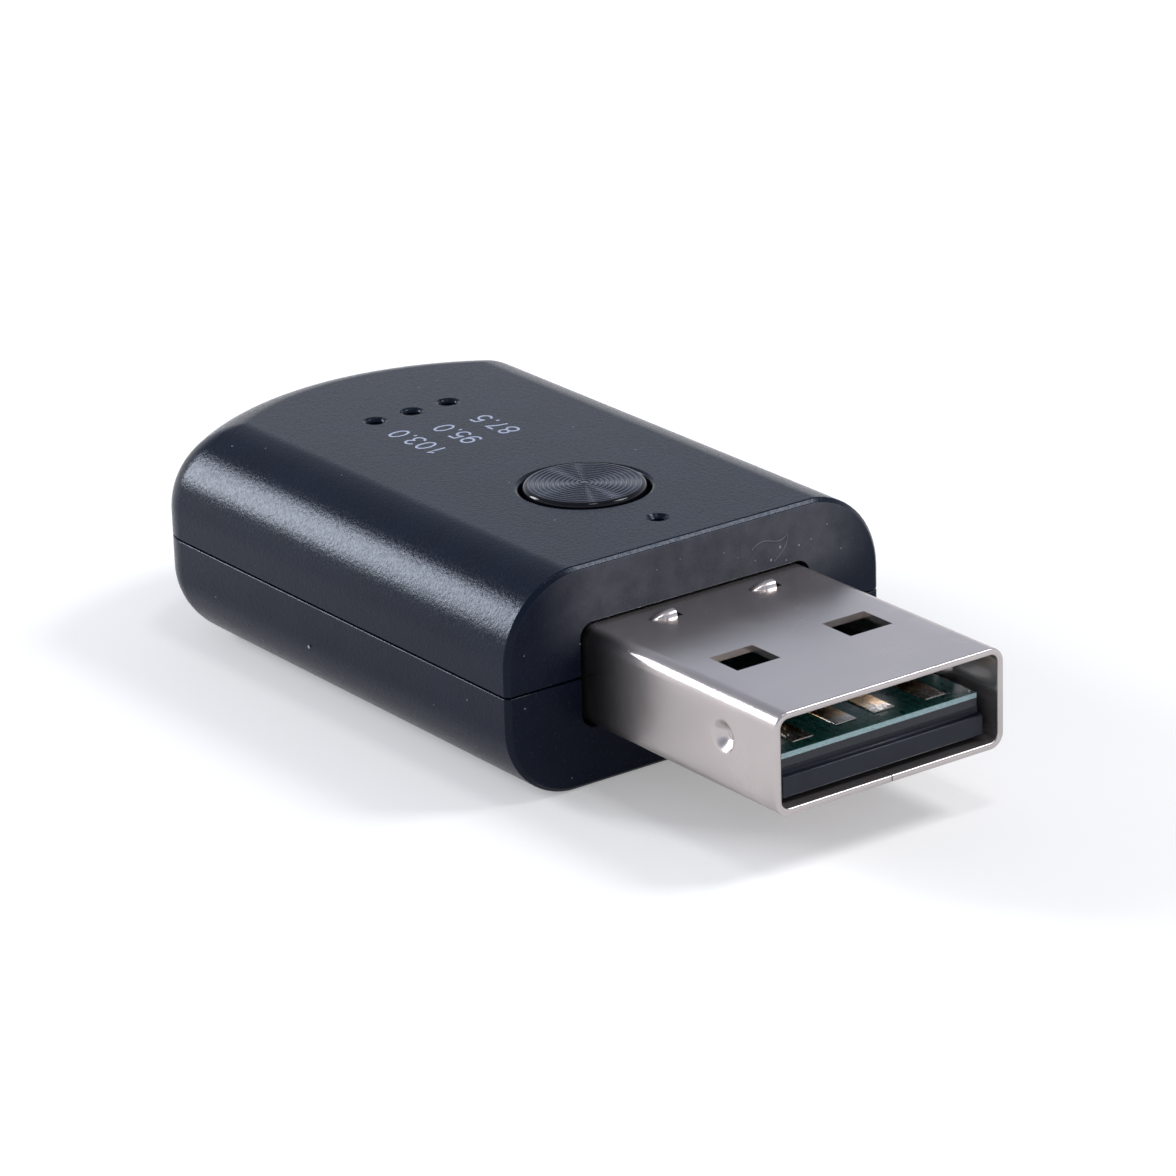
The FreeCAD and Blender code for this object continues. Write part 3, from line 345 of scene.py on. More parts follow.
def turned_face(name, middle):
    """The cap: fine turning marks round its middle on the face, and a polished black rim."""
    material, tree, shader = new_material(name)
    shift = tree.nodes.new("ShaderNodeVectorMath")
    shift.operation = "SUBTRACT"
    put(tree, shift.inputs[0], place_of(tree))
    shift.inputs[1].default_value = middle
    x, y, _ = split_xyz(tree, shift.outputs[0])
    radius = maths(tree, "SQRT", maths(tree, "ADD", maths(tree, "MULTIPLY", x, x),
                                       maths(tree, "MULTIPLY", y, y)))
    rim = maths(tree, "GREATER_THAN", radius, CAP_FACE * MM)
    face = maths(tree, "SUBTRACT", 1.0, rim)
    rings = add(tree, "ShaderNodeCombineXYZ", X=radius, Y=0.0, Z=0.0).outputs["Vector"]
    marks = noise(tree, 0.035, 2.0, rings)
    shades = ramp(tree, noise(tree, 1.0, 2.0), (0.3, (0.062, 0.070, 0.092)),
                  (0.7, (0.078, 0.086, 0.112)))
    put(tree, shader.inputs["Base Color"],
        blend_colour(tree, rim, shades, colour(0.004, 0.004, 0.007)))
    put(tree, shader.inputs["Metallic"], maths(tree, "MULTIPLY", face, 0.85))
    gloss = ramp(tree, marks, (0.3, grey(0.20)), (0.7, grey(0.28)))
    put(tree, shader.inputs["Roughness"], blend_colour(tree, rim, gloss, grey(0.10)))
    shader.inputs["Specular IOR Level"].default_value = 0.25
    shader.inputs["Anisotropic"].default_value = 0.8
    outwards = add(tree, "ShaderNodeCombineXYZ", X=x, Y=y, Z=0.0)
    put(tree, shader.inputs["Tangent"], outwards.outputs["Vector"])
    bump(tree, shader, maths(tree, "MULTIPLY", marks, face), 0.002, 0.6)
    return material


def lens(name):
    """Milky resin of the lamps."""
    material, tree, shader = new_material(name)
    cloud = noise(tree, 0.5, 2.0)
    put(tree, shader.inputs["Base Color"],
        ramp(tree, cloud, (0.3, (0.62, 0.62, 0.58)), (0.7, (0.80, 0.80, 0.76))))
    put(tree, shader.inputs["Roughness"], ramp(tree, cloud, (0.3, grey(0.12)), (0.7, grey(0.2))))
    shader.inputs["Transmission Weight"].default_value = 0.35
    shader.inputs["IOR"].default_value = 1.5
    return material


WIRE_GRAIN = 0.16


def wound_wire(name):
    """Enamelled copper wire, turn on turn."""
    material, tree, shader = new_material(name)
    shader.inputs["Metallic"].default_value = 1.0
    wave = add(tree, "ShaderNodeTexWave", Scale=1 / (WIRE_GRAIN * MM) / 20)
    wave.bands_direction = "Z"
    put(tree, wave.inputs["Vector"], place_of(tree))
    put(tree, shader.inputs["Base Color"],
        ramp(tree, wave.outputs["Fac"], (0.1, (0.32, 0.10, 0.04)), (0.8, (0.78, 0.34, 0.16))))
    shader.inputs["Roughness"].default_value = 0.3
    bump(tree, shader, wave.outputs["Fac"], 0.04, 0.8)
    return material


def ink(name):
    """Pale printed ink, a little thinner in places."""
    material, tree, shader = new_material(name)
    thin = noise(tree, 0.07, 3.0)
    put(tree, shader.inputs["Base Color"],
        ramp(tree, thin, (0.30, (0.26, 0.29, 0.38)), (0.5, (0.42, 0.46, 0.60))))
    put(tree, shader.inputs["Roughness"], ramp(tree, thin, (0.3, grey(0.75)), (0.7, grey(0.6))))
    return material


# Sizes of the cap: its face with rings, then its hidden stem, skirt, flange and two keys, whose
# heights are counted from the ground
CAP_RADIUS = 2.72
CAP_BEVEL, CAP_BEVEL_STEPS = 0.2, 6
CAP_RIM = 0.02
CAP_RINGS = 11
CAP_RING_DEPTH = 0.055
CAP_RING_HALF = 0.068
CAP_FACE = CAP_RADIUS - CAP_BEVEL - CAP_RIM
CAP_RING_START = 0.4
CAP_RING_FORM = ((1.12, 0.0), (0.94, 0.08), (0.1, 0.92), (0, 1.0), (-0.1, 0.92), (-0.94, 0.08),
                 (-1.12, 0.0))
CAP_SIDES = 192
STEM_RADIUS, STEM_FOOT = 1.0, 6.75
CAP_ROOF, CAP_SKIRT = 0.9, 0.7
FLANGE_RADIUS, FLANGE_LOW, FLANGE_HIGH = 3.25, 8.2, 8.75
KEY_OUT, KEY_SIZE = 3.52, (0.9, 0.72, 0.55)

HOUSING = spark_eroded("housing_plastic", (0.0062, 0.0086, 0.0180), 0.215, dust=0.5,
                       specular=0.155, tint=(0.74, 0.85, 1.0), bounce_level=0.088)
BUTTON = turned_face("button_plastic", (BUTTON_X, 0.0, CAP_HIGH.z))
STEEL = satin_steel("plug_steel", (0.59, 0.535, 0.52), 0.25)
# Painted shade: the sleeve's inner faces get a near-black steel that stands for the unlit inside of
# the plug
STEEL_INSIDE_SHADED = satin_steel("plug_steel_inside_shaded", (0.026, 0.028, 0.038), 0.34, edge_tint=0.15)
INSERT = plain("insert_plastic", (0.010, 0.013, 0.022), 0.34, grain_mm=0.2, grain_depth=0.003,
               specular=0.3)
BOARD = laminate("board_laminate")
GOLD = gold("contact_gold")
TIN = plain("solder_tin", (0.72, 0.70, 0.66), 0.3, metallic=1.0, grain_mm=0.15)
SPRING = plain("switch_steel", (0.60, 0.60, 0.60), 0.28, metallic=1.0, grain_mm=0.2)
DARK = plain("switch_plastic", (0.025, 0.025, 0.028), 0.5)
STEM = plain("plunger_plastic", (0.62, 0.61, 0.57), 0.45)
LAMP = lens("lamp_resin")
RUBBER = plain("gasket_rubber", (0.02, 0.02, 0.022), 0.75, grain_mm=0.15)
RESIN = plain("chip_resin", (0.018, 0.018, 0.02), 0.6, grain_mm=0.12)
FERRITE = plain("ferrite", (0.03, 0.03, 0.034), 0.65, grain_mm=0.1)
COPPER = wound_wire("copper_wire")
TANTALUM = plain("tantalum_resin", (0.55, 0.30, 0.08), 0.5)
CERAMIC = plain("ceramic", (0.50, 0.42, 0.32), 0.55, grain_mm=0.12)
FILM = plain("resistor_film", (0.02, 0.02, 0.025), 0.35)
INK = ink("number_ink")
LINT = plain("lint", (0.30, 0.30, 0.33), 0.9, grain_mm=0.05)

FINISH = {
    "top_shell": HOUSING, "bottom_shell": HOUSING, "button_cap": BUTTON, "usb_sleeve": STEEL,
    "plug_insert": INSERT, "circuit_board": BOARD, "contact_power": GOLD,
    "contact_data_minus": GOLD, "contact_data_plus": GOLD, "contact_ground": GOLD,
    "switch_base": DARK, "switch_cover": SPRING, "switch_dome": SPRING, "switch_plunger": STEM,
    "switch_terminals": TIN, "status_lamp_right": LAMP, "status_lamp_middle": LAMP,
    "status_lamp_left": LAMP, "microphone": SPRING, "microphone_gasket": RUBBER,
    "radio_chip": RESIN, "radio_chip_leads": TIN, "crystal": SPRING, "voltage_regulator": RESIN,
    "inductor_core": FERRITE, "inductor_winding": COPPER, "bulk_capacitor": TANTALUM,
    "chip_antenna": CERAMIC, "ceramic_capacitors": CERAMIC, "resistors": FILM,
}
for name, finish in FINISH.items():
    if not nodes[name].material_slots:
        nodes[name].data.materials.append(finish)
    for one in nodes[name].material_slots:
        one.link = "OBJECT"
        one.material = finish


# Mesh helpers

def new_object(name, mesh, finish, body, stands_for=()):
    """Adds a piece to the scene, with its finish, body, slot and the CAD nodes it replaces."""
    thing = bpy.data.objects.new(name, mesh)
    bpy.context.scene.collection.objects.link(thing)
    mesh.materials.clear()
    mesh.materials.append(finish)
    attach(thing, body)
    if stands_for:
        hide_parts(*stands_for)
    return thing


def smooth(mesh, angle=32):
    for face in mesh.polygons:
        face.use_smooth = True
    mesh.set_sharp_from_angle(angle=math.radians(angle))


def to_mesh(form, name, angle=32):
    """Makes a smooth mesh of a form, and frees the form."""
    mesh = bpy.data.meshes.new(name)
    form.to_mesh(mesh)
    form.free()
    smooth(mesh, angle)
    return mesh


def add_block(form, middle, size):
    """Adds a block to a form, its sides along the axes."""
    for v in bmesh.ops.create_cube(form, size=1.0)["verts"]:
        v.co = Vector([middle[n] + v.co[n] * size[n] for n in range(3)])


def add_modifier(thing, kind, **values):
    made = thing.modifiers.new(kind.title(), kind)
    for key, value in values.items():
        setattr(made, key, value)


# Corners closer than this are welded, in metres; faces that meet below the first angle are one
# flat, and edges above the second are softened, in degrees
WELD, FLAT_ANGLE, EDGE_ANGLE = 2e-7, 0.4, 40


def dressed(node, name, body, bevel_mm, segments, pick=None):
    """Makes a finer copy of a CAD piece: welded, flats merged, and its edges softened."""
    mesh = nodes[node].data.copy()
    mesh.name = name
    form = bmesh.new()
    form.from_mesh(mesh)
    bmesh.ops.remove_doubles(form, verts=form.verts, dist=WELD)
    bmesh.ops.dissolve_limit(form, angle_limit=math.radians(FLAT_ANGLE), verts=form.verts,
                             edges=form.edges, delimit={"NORMAL"})
    if pick:
        weight = form.edges.layers.float.get("bevel_weight_edge") or \
            form.edges.layers.float.new("bevel_weight_edge")
        for edge in form.edges:
            edge[weight] = pick(edge)
    form.to_mesh(mesh)
    form.free()
    if "custom_normal" in mesh.attributes:
        mesh.attributes.remove(mesh.attributes["custom_normal"])
    smooth(mesh)
    thing = new_object(name, mesh, FINISH[node], body, (node,))
    add_modifier(thing, "BEVEL", width=bevel_mm * MM, segments=segments, use_clamp_overlap=False,
                 limit_method="WEIGHT" if pick else "ANGLE",
                 angle_limit=math.radians(EDGE_ANGLE), harden_normals=False)
    add_modifier(thing, "WEIGHTED_NORMAL", weight=80, keep_sharp=True)


# The two shells and the contacts, with softened edges

# For the holes, the front and the parting line: the share of the bevel's width, and how near
# the top, the front face or the line an edge has to lie. Last, the least turn in degrees that
# counts as an edge, at the front and elsewhere
HOLE_ROUND, FRONT_ROUND, PARTING_ROUND = 1.0, 0.25, 0.3
HOLE_NEAR, FRONT_NEAR, PARTING_NEAR = 0.01, 0.25, 0.06
FRONT_TURN, OTHER_TURN = 20, 50


def softened(edge):
    """How round an edge of a shell is: holes on top, the front's cut edge, the parting line."""
    turn = edge.calc_face_angle(0.0) if len(edge.link_faces) == 2 else 0.0
    low, high = sorted(v.co.z / MM for v in edge.verts)
    near = min(v.co.x / MM for v in edge.verts)
    if near > FRONT - FRONT_NEAR and turn > math.radians(FRONT_TURN):
        return FRONT_ROUND
    if turn < math.radians(OTHER_TURN):
        return 0.0
    if low > TOP - HOLE_NEAR:
        return HOLE_ROUND
    if abs(low - AXIS) < PARTING_NEAR and abs(high - AXIS) < PARTING_NEAR:
        for face in edge.link_faces:
            middle = face.calc_center_median()
            if abs(face.normal.z) < 0.3:
                outside = face.normal.x * middle.x + face.normal.y * middle.y > 0
                return PARTING_ROUND if outside else 0.0
    return 0.0


dressed("top_shell", "housing_upper", "housing", 0.18, 3, pick=softened)
dressed("bottom_shell", "housing_lower", "housing", 0.18, 3, pick=softened)
for side in ("power", "data_minus", "data_plus", "ground"):
    dressed(f"contact_{side}", f"contact_strip_{side}", "housing", 0.03, 2)


# The plug's plastic block

REBATE = 0.33
BOARD_PLAY = 0.02
BLOCK_LIFT = 0.25
BLOCK_BEVEL = 0.07
# The feet under the block are two rails: the places of their middles, and their sizes
RAIL_INSET, RAIL_WIDE, RAIL_HIGH, RAIL_MIDDLE = 0.46, 0.88, 0.5, 0.26
RAIL_BACK, RAIL_LONGER = 1.2, 0.5


def make_plug_block():
    """The plug's plastic block, with a rebate under the board's front edge and two rails."""
    low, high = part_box("plug_insert")
    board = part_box("circuit_board")[0].z / MM - AXIS - BOARD_PLAY
    front, rear, half = high.x / MM - FRONT, low.x / MM - FRONT, high.y / MM
    floor = low.z / MM - AXIS
    section = [(rear, floor + BLOCK_LIFT), (front, floor + BLOCK_LIFT), (front, board - REBATE),
               (front - REBATE, board - REBATE), (front - REBATE, board), (rear, board)]
    form = bmesh.new()
    ends = [[form.verts.new(at(x, y, z)) for x, z in section] for y in (-half, half)]
    for n in range(len(section)):
        m = (n + 1) % len(section)
        form.faces.new((ends[0][n], ends[0][m], ends[1][m], ends[1][n]))
    form.faces.new(ends[0])
    form.faces.new(ends[1])
    for side in (-1, 1):
        add_block(form, at(front / 2 - RAIL_BACK, side * (half - RAIL_INSET), floor + RAIL_MIDDLE),
                  Vector((front + RAIL_LONGER, RAIL_WIDE, RAIL_HIGH)) * MM)
    bmesh.ops.recalc_face_normals(form, faces=form.faces)
    mesh = to_mesh(form, "plug_block")
    thing = new_object("plug_block", mesh, INSERT, "housing", ("plug_insert",))
    add_modifier(thing, "BEVEL", width=BLOCK_BEVEL * MM, segments=3, limit_method="ANGLE",
                 angle_limit=math.radians(EDGE_ANGLE))
    add_modifier(thing, "WEIGHTED_NORMAL", weight=80, keep_sharp=True)


make_plug_block()


# The plug's sleeve, as one folded sheet on a grid that is fine where something is pressed into it

SHEET = 0.3
SLEEVE_CORNER = 0.68
CORNER_STEPS = 8
REACH = SLEEVE_HIGH.x / MM - FRONT
ROOT = -1.4
HALF_W = SLEEVE_HIGH.y / MM
HALF_H = PLUG_HALF_HEIGHT
WINDOW_X = (6.2, 8.1)
WINDOW_Y = (1.85, 4.1)
LANCE_X, LANCE_Y, LANCE_LONG, LANCE_LEAD = 1.2, 2.65, 0.9, 0.28
LANCE_HIGH, LANCE_R, LANCE_SLOT = 0.30, 0.37, 0.30
LANCE_EARLY, LANCE_BLUNT, LANCE_NOSE = 1.12, 0.8, 0.35
DIMPLE_X, DIMPLE_Z, DIMPLE_R, DIMPLE_FLOOR, DIMPLE_DEPTH = 9.5, 0.3, 0.68, 0.16, 0.40
DIMPLE_EASE = 0.08
DIMPLE_GRID = 0.78
SEAM = 0.03
RIM = 0.09
# Spacing of the grid's rows round the sleeve and along it; rows nearer than the least are one
PITCH_AROUND = {"flat": 0.9, "side": 0.5, "lance": 0.05, "slot": 0.2, "window": 0.75,
                "dimple": 0.06}
PITCH_ALONG = {"flat": 1.2, "lance": 0.037, "window": 0.95, "dimple": 0.06}
PITCH_LEAST = 0.004
# A row of the grid this close to a rolled or pressed edge keeps the sheet beside it flat
BESIDE = 0.05
LEG_BACK, LEG_FRONT, LEG_LOW, LEG_HIGH = ROOT - 2.3, ROOT + 0.3, -1.4, 0.6
# A leg is thinner than the sheet by this share, so that their faces don't lie in one plane
LEG_SHARE = 0.999


def steps(*spans):
    """Sorted places over several spans, each with its own spacing."""
    found = set()
    for start, end, pitch in spans:
        count = max(1, round((end - start) / pitch))
        for index in range(count + 1):
            found.add(round(start + (end - start) * index / count, 5))
    ordered = []
    for value in sorted(found):
        if not ordered or value - ordered[-1] > PITCH_LEAST:
            ordered.append(value)
    return ordered


def pressed(x, side, across):
    """How far the sheet stands out at a place: lances on the top, dimples in the sides."""
    if side == "top":
        for lance in (-LANCE_Y, LANCE_Y):
            start, end = lance - LANCE_LONG / 2 - LANCE_LEAD, lance + LANCE_LONG / 2
            share = (across - start) / (end - start)
            if 0 <= share <= 1.0001:
                turn = math.radians(90 * min(1.0, share * LANCE_EARLY))
                swell = math.sin(turn) ** LANCE_BLUNT
                wide = LANCE_R * (LANCE_NOSE + (1 - LANCE_NOSE) * swell)
                off = abs(x - LANCE_X) / wide
                if off < 1:
                    return LANCE_HIGH * swell * math.sqrt(1 - off * off)
    if side in ("left", "right"):
        off = math.hypot(x - DIMPLE_X, across - DIMPLE_Z)
        outer = DIMPLE_R + DIMPLE_EASE
        if off < outer:
            share = max(0.0, min(1.0, (outer - off) / (outer - DIMPLE_FLOOR)))
            return -DIMPLE_DEPTH * share * share * (3 - 2 * share)
    return 0.0


def add_corner(places, y, z, start, end):
    for index in range(1, CORNER_STEPS):
        turn = math.radians(start + (end - start) * index / CORNER_STEPS)
        out = (math.cos(turn), math.sin(turn))
        places.append(("corner", 0, (y + SLEEVE_CORNER * out[0], z + SLEEVE_CORNER * out[1]), out))


def sleeve_outline():
    """Places round the sleeve: side name, place along that side, point and outward normal."""
    flat_y, flat_z = HALF_W - SLEEVE_CORNER, HALF_H - SLEEVE_CORNER
    lance_spans, slot_spans = [], []
    for middle in (-LANCE_Y, LANCE_Y):
        end = middle + LANCE_LONG / 2
        lance_start = middle - LANCE_LONG / 2 - LANCE_LEAD
        lance_spans.append((lance_start, end, PITCH_AROUND["lance"]))
        slot_spans.append((end, end + LANCE_SLOT, PITCH_AROUND["slot"]))
    window_spans = [(-WINDOW_Y[1], -WINDOW_Y[0], PITCH_AROUND["window"]),
                    (WINDOW_Y[0], WINDOW_Y[1], PITCH_AROUND["window"])]
    flat_span = (-flat_y, flat_y, PITCH_AROUND["flat"])
    tops = steps(flat_span, *lance_spans, *slot_spans, *window_spans)
    sides = steps((-flat_z, flat_z, PITCH_AROUND["side"]),
                  (DIMPLE_Z - DIMPLE_GRID, DIMPLE_Z + DIMPLE_GRID, PITCH_AROUND["dimple"]))
    unders = steps(flat_span, *window_spans, (-SEAM, SEAM, SEAM * 2))
    places = []
    for y in tops:
        places.append(("top", y, (y, HALF_H), (0, 1)))
    add_corner(places, flat_y, flat_z, 90, 0)
    for z in reversed(sides):
        places.append(("left", z, (HALF_W, z), (1, 0)))
    add_corner(places, flat_y, -flat_z, 0, -90)
    for y in reversed(unders):
        places.append(("under", y, (y, -HALF_H), (0, -1)))
    add_corner(places, -flat_y, -flat_z, -90, -180)
    for z in sides:
        places.append(("right", z, (-HALF_W, z), (-1, 0)))
    add_corner(places, -flat_y, flat_z, 180, 90)
    return places


def is_open(x, side, across):
    """Whether the sheet is cut away at a place: windows, the seam, and a slot beside each lance."""
    if side in ("top", "under") and WINDOW_X[0] < x < WINDOW_X[1] \
            and WINDOW_Y[0] < abs(across) < WINDOW_Y[1]:
        return True
    if side == "under" and abs(across) < SEAM:
        return True
    if side == "top" and abs(x - LANCE_X) < LANCE_R:
        for lance in (-LANCE_Y, LANCE_Y):
            end = lance + LANCE_LONG / 2
            if end < across < end + LANCE_SLOT:
                return True
    return False


def sleeve_cells(along, around):
    """Which cells of the grid are sheet."""
    cells = {}
    for i in range(len(along) - 1):
        x = (along[i] + along[i + 1]) / 2
        for j, (side, across, _, _) in enumerate(around):
            beyond = around[(j + 1) % len(around)]
            cells[i, j] = beyond[0] != side or not is_open(x, side, (across + beyond[1]) / 2)
    return cells


def make_sleeve():
    """The folded sheet: an outer and an inner layer of cells, and walls where it ends."""
    around = sleeve_outline()
    count = len(around)
    along = steps((ROOT, REACH - RIM, PITCH_ALONG["flat"]),
                  (LANCE_X - LANCE_R, LANCE_X + LANCE_R, PITCH_ALONG["lance"]),
                  (DIMPLE_X - DIMPLE_GRID, DIMPLE_X + DIMPLE_GRID, PITCH_ALONG["dimple"]),
                  (*WINDOW_X, PITCH_ALONG["window"]),
                  (LANCE_X - LANCE_R - BESIDE, LANCE_X - LANCE_R, BESIDE),
                  (LANCE_X + LANCE_R, LANCE_X + LANCE_R + BESIDE, BESIDE),
                  (REACH - RIM - BESIDE, REACH - RIM, BESIDE), (REACH - RIM, REACH, RIM / 3))
    form = bmesh.new()
    grid = []
    for x in along:
        inset = 0.0
        if x > REACH - RIM:
            inset = RIM - math.sqrt(max(0.0, RIM * RIM - (x - REACH + RIM) ** 2))
        row = []
        for side, across, (y, z), (ny, nz) in around:
            lift = pressed(x, side, across)
            row.append([form.verts.new(at(x, y + ny * depth, z + nz * depth))
                        for depth in (lift - inset, lift - SHEET + inset)])
        grid.append(row)
    cells = sleeve_cells(along, around)
    for (i, j), solid in cells.items():
        if not solid:
            continue
        k = (j + 1) % count
        corners = [(i, j), (i, k), (i + 1, k), (i + 1, j)]
        for layer in (0, 1):
            ring = [grid[a][b][layer] for a, b in corners]
            form.faces.new(ring if layer else ring[::-1]).material_index = layer
        for (first, second), beside in (((corners[0], corners[1]), (i - 1, j)),
                                        ((corners[1], corners[2]), (i, k)),
                                        ((corners[2], corners[3]), (i + 1, j)),
                                        ((corners[3], corners[0]), (i, (j - 1) % count))):
            if not cells.get(beside, False):
                a, b = grid[first[0]][first[1]], grid[second[0]][second[1]]
                form.faces.new((a[0], b[0], b[1], a[1]))
    loose = [v for v in form.verts if not v.link_faces]
    bmesh.ops.delete(form, geom=loose, context="VERTS")
    for side in (-1, 1):
        low = at(LEG_BACK, min(side * HALF_W, side * (HALF_W - SHEET)), LEG_LOW)
        high = at(LEG_FRONT, max(side * HALF_W, side * (HALF_W - SHEET)), LEG_HIGH)
        span = high - low
        span.y *= LEG_SHARE
        add_block(form, (low + high) / 2, span)
    bmesh.ops.recalc_face_normals(form, faces=form.faces)
    mesh = to_mesh(form, "plug_sleeve", 38)
    thing = new_object("plug_sleeve", mesh, STEEL, "housing", ("usb_sleeve",))
    # The inner layer takes the near-black steel, which paints the shade inside the sleeve
    mesh.materials.append(STEEL_INSIDE_SHADED)
    add_modifier(thing, "WEIGHTED_NORMAL", weight=60, keep_sharp=True)


make_sleeve()


# The push button's cap, turned on a lathe

def cap_section():
    """Radius and height round the cap's half section, from the stem's foot up to its middle."""
    top = CAP_HIGH.z / MM
    hollow = CAP_RADIUS - CAP_SKIRT
    section = [(0.0, STEM_FOOT), (STEM_RADIUS, STEM_FOOT), (STEM_RADIUS, top - CAP_ROOF),
               (hollow, top - CAP_ROOF), (hollow, FLANGE_LOW), (FLANGE_RADIUS, FLANGE_LOW),
               (FLANGE_RADIUS, FLANGE_HIGH), (CAP_RADIUS, FLANGE_HIGH)]
    for index in range(CAP_BEVEL_STEPS + 1):
        turn = math.radians(90 * index / CAP_BEVEL_STEPS)
        section.append((CAP_RADIUS - CAP_BEVEL + CAP_BEVEL * math.cos(turn),
                        top - CAP_BEVEL + CAP_BEVEL * math.sin(turn)))
    pitch = CAP_FACE / (CAP_RINGS + 0.5)
    for ring in range(CAP_RINGS):
        middle = CAP_FACE - pitch * (ring + CAP_RING_START)
        for share, deep in CAP_RING_FORM:
            section.append((middle + CAP_RING_HALF * share, top - CAP_RING_DEPTH * deep))
    section.append((0.0, top))
    return section


def make_cap():
    """The cap: its section turned about its middle, and the two keys of its flange."""
    form = bmesh.new()
    rings = []
    for radius, height in cap_section():
        if radius == 0.0:
            rings.append([form.verts.new((BUTTON_X, 0, height * MM))])
            continue
        turns = [2 * math.pi * n / CAP_SIDES for n in range(CAP_SIDES)]
        rings.append([form.verts.new((BUTTON_X + radius * MM * math.cos(turn),
                                      radius * MM * math.sin(turn), height * MM))
                      for turn in turns])
    for below, above in zip(rings, rings[1:]):
        for n in range(CAP_SIDES):
            m = (n + 1) % CAP_SIDES
            ring = [below[n % len(below)], below[m % len(below)],
                    above[m % len(above)], above[n % len(above)]]
            form.faces.new(list(dict.fromkeys(ring)))
    for side in (-1, 1):
        middle = Vector((BUTTON_X, side * KEY_OUT * MM, (FLANGE_LOW + FLANGE_HIGH) / 2 * MM))
        add_block(form, middle, Vector(KEY_SIZE) * MM)
    bmesh.ops.recalc_face_normals(form, faces=form.faces)
    mesh = to_mesh(form, "button", 60)
    new_object("button", mesh, BUTTON, "button", ("button_cap",))


make_cap()


# Pen strokes: a curve with a round section, made into a mesh

def new_curve(name, radius_mm, resolution):
    curve = bpy.data.curves.new(name, "CURVE")
    curve.dimensions = "3D"
    curve.bevel_depth = radius_mm * MM
    curve.bevel_resolution = resolution
    return curve


def drawn(curve, name):
    """The mesh of a curve, whose own object doesn't stay in the scene."""
    pen = bpy.data.objects.new(name + "_pen", curve)
    bpy.context.scene.collection.objects.link(pen)
    bpy.context.view_layer.update()
    mesh = bpy.data.meshes.new_from_object(
        pen.evaluated_get(bpy.context.evaluated_depsgraph_get()))
    bpy.data.objects.remove(pen)
    mesh.name = name
    return mesh


# The three frequencies beside the lamp holes, drawn as pen strokes of printed ink

def bow(x, y, rx, ry, start, end, count=14):
    """Points along an arc of an ellipse, from one angle to another."""
    turns = [math.radians(start + (end - start) * i / count) for i in range(count + 1)]
    return [(x + rx * math.cos(turn), y + ry * math.sin(turn)) for turn in turns]


GLYPHS = {
    "0": [bow(0.28, 0.5, 0.23, 0.46, 90, 450, 28)],
    "1": [[(0.10, 0.77), (0.20, 0.83), (0.30, 0.96), (0.30, 0.5), (0.30, 0.04)]],
    "3": [bow(0.27, 0.735, 0.20, 0.225, 165, -80) + bow(0.27, 0.275, 0.235, 0.235, 80, -165)],
    "5": [[(0.47, 0.95), (0.30, 0.95), (0.13, 0.95), (0.10, 0.74), (0.07, 0.51)]
          + bow(0.265, 0.33, 0.235, 0.29, 138, -155)],
    "7": [[(0.05, 0.95), (0.28, 0.95), (0.51, 0.95), (0.42, 0.80), (0.31, 0.55), (0.25, 0.30),
           (0.21, 0.04)]],
    "8": [bow(0.28, 0.745, 0.185, 0.21, -90, 270, 24), bow(0.28, 0.285, 0.235, 0.25, 90, 450, 24)],
    "9": [bow(0.285, 0.67, 0.225, 0.285, 0, 360, 24),
          bow(0.285, 0.50, 0.225, 0.46, 20, -60, 10) + [(0.27, 0.045), (0.14, 0.08), (0.08, 0.20)]],
    ".": [[(-0.01, 0.07), (0.09, 0.07)], [(-0.01, 0.12), (0.09, 0.12)]],
}
GLYPH_HEIGHT = 1.04
GLYPH_MIDDLE, GLYPH_WIDEN = 0.28, 1.16
DIGIT_ADVANCE, POINT_ADVANCE, POINT_BACK = 0.8, 0.42, 0.02
INK_RADIUS, INK_FLATTEN = 0.06, 0.14


def make_number(text, start_x, foot_y, name):
    """Draws a number that reads towards the tail, with its digits' feet at foot_y."""
    curve = new_curve(name, INK_RADIUS, 3)
    curve.use_fill_caps = True
    pen = 0.0
    for letter in text:
        is_point = letter == "."
        if is_point:
            pen -= POINT_BACK
        for stroke in GLYPHS[letter]:
            spline = curve.splines.new("POLY")
            spline.points.add(len(stroke) - 1)
            for point, (u, v) in zip(spline.points, stroke):
                wide = u if is_point else GLYPH_MIDDLE + (u - GLYPH_MIDDLE) * GLYPH_WIDEN
                spot = at(start_x - (pen + wide) * GLYPH_HEIGHT, foot_y - v * GLYPH_HEIGHT, 0)
                point.co = (*spot, 1.0)
        pen += POINT_ADVANCE if is_point else DIGIT_ADVANCE
    mesh = drawn(curve, name)
    for v in mesh.vertices:
        v.co.z = TOP * MM + (v.co.z - AXIS * MM) * INK_FLATTEN
    smooth(mesh, 60)
    new_object(name, mesh, INK, "housing")


make_number("103.0", -15.62, -1.68, "number_right")
make_number("95.0", -15.78, 0.30, "number_middle")
make_number("87.5", -15.72, 2.32, "number_left")


# Lint: flakes and one fibre on the front face, and flakes on the right side

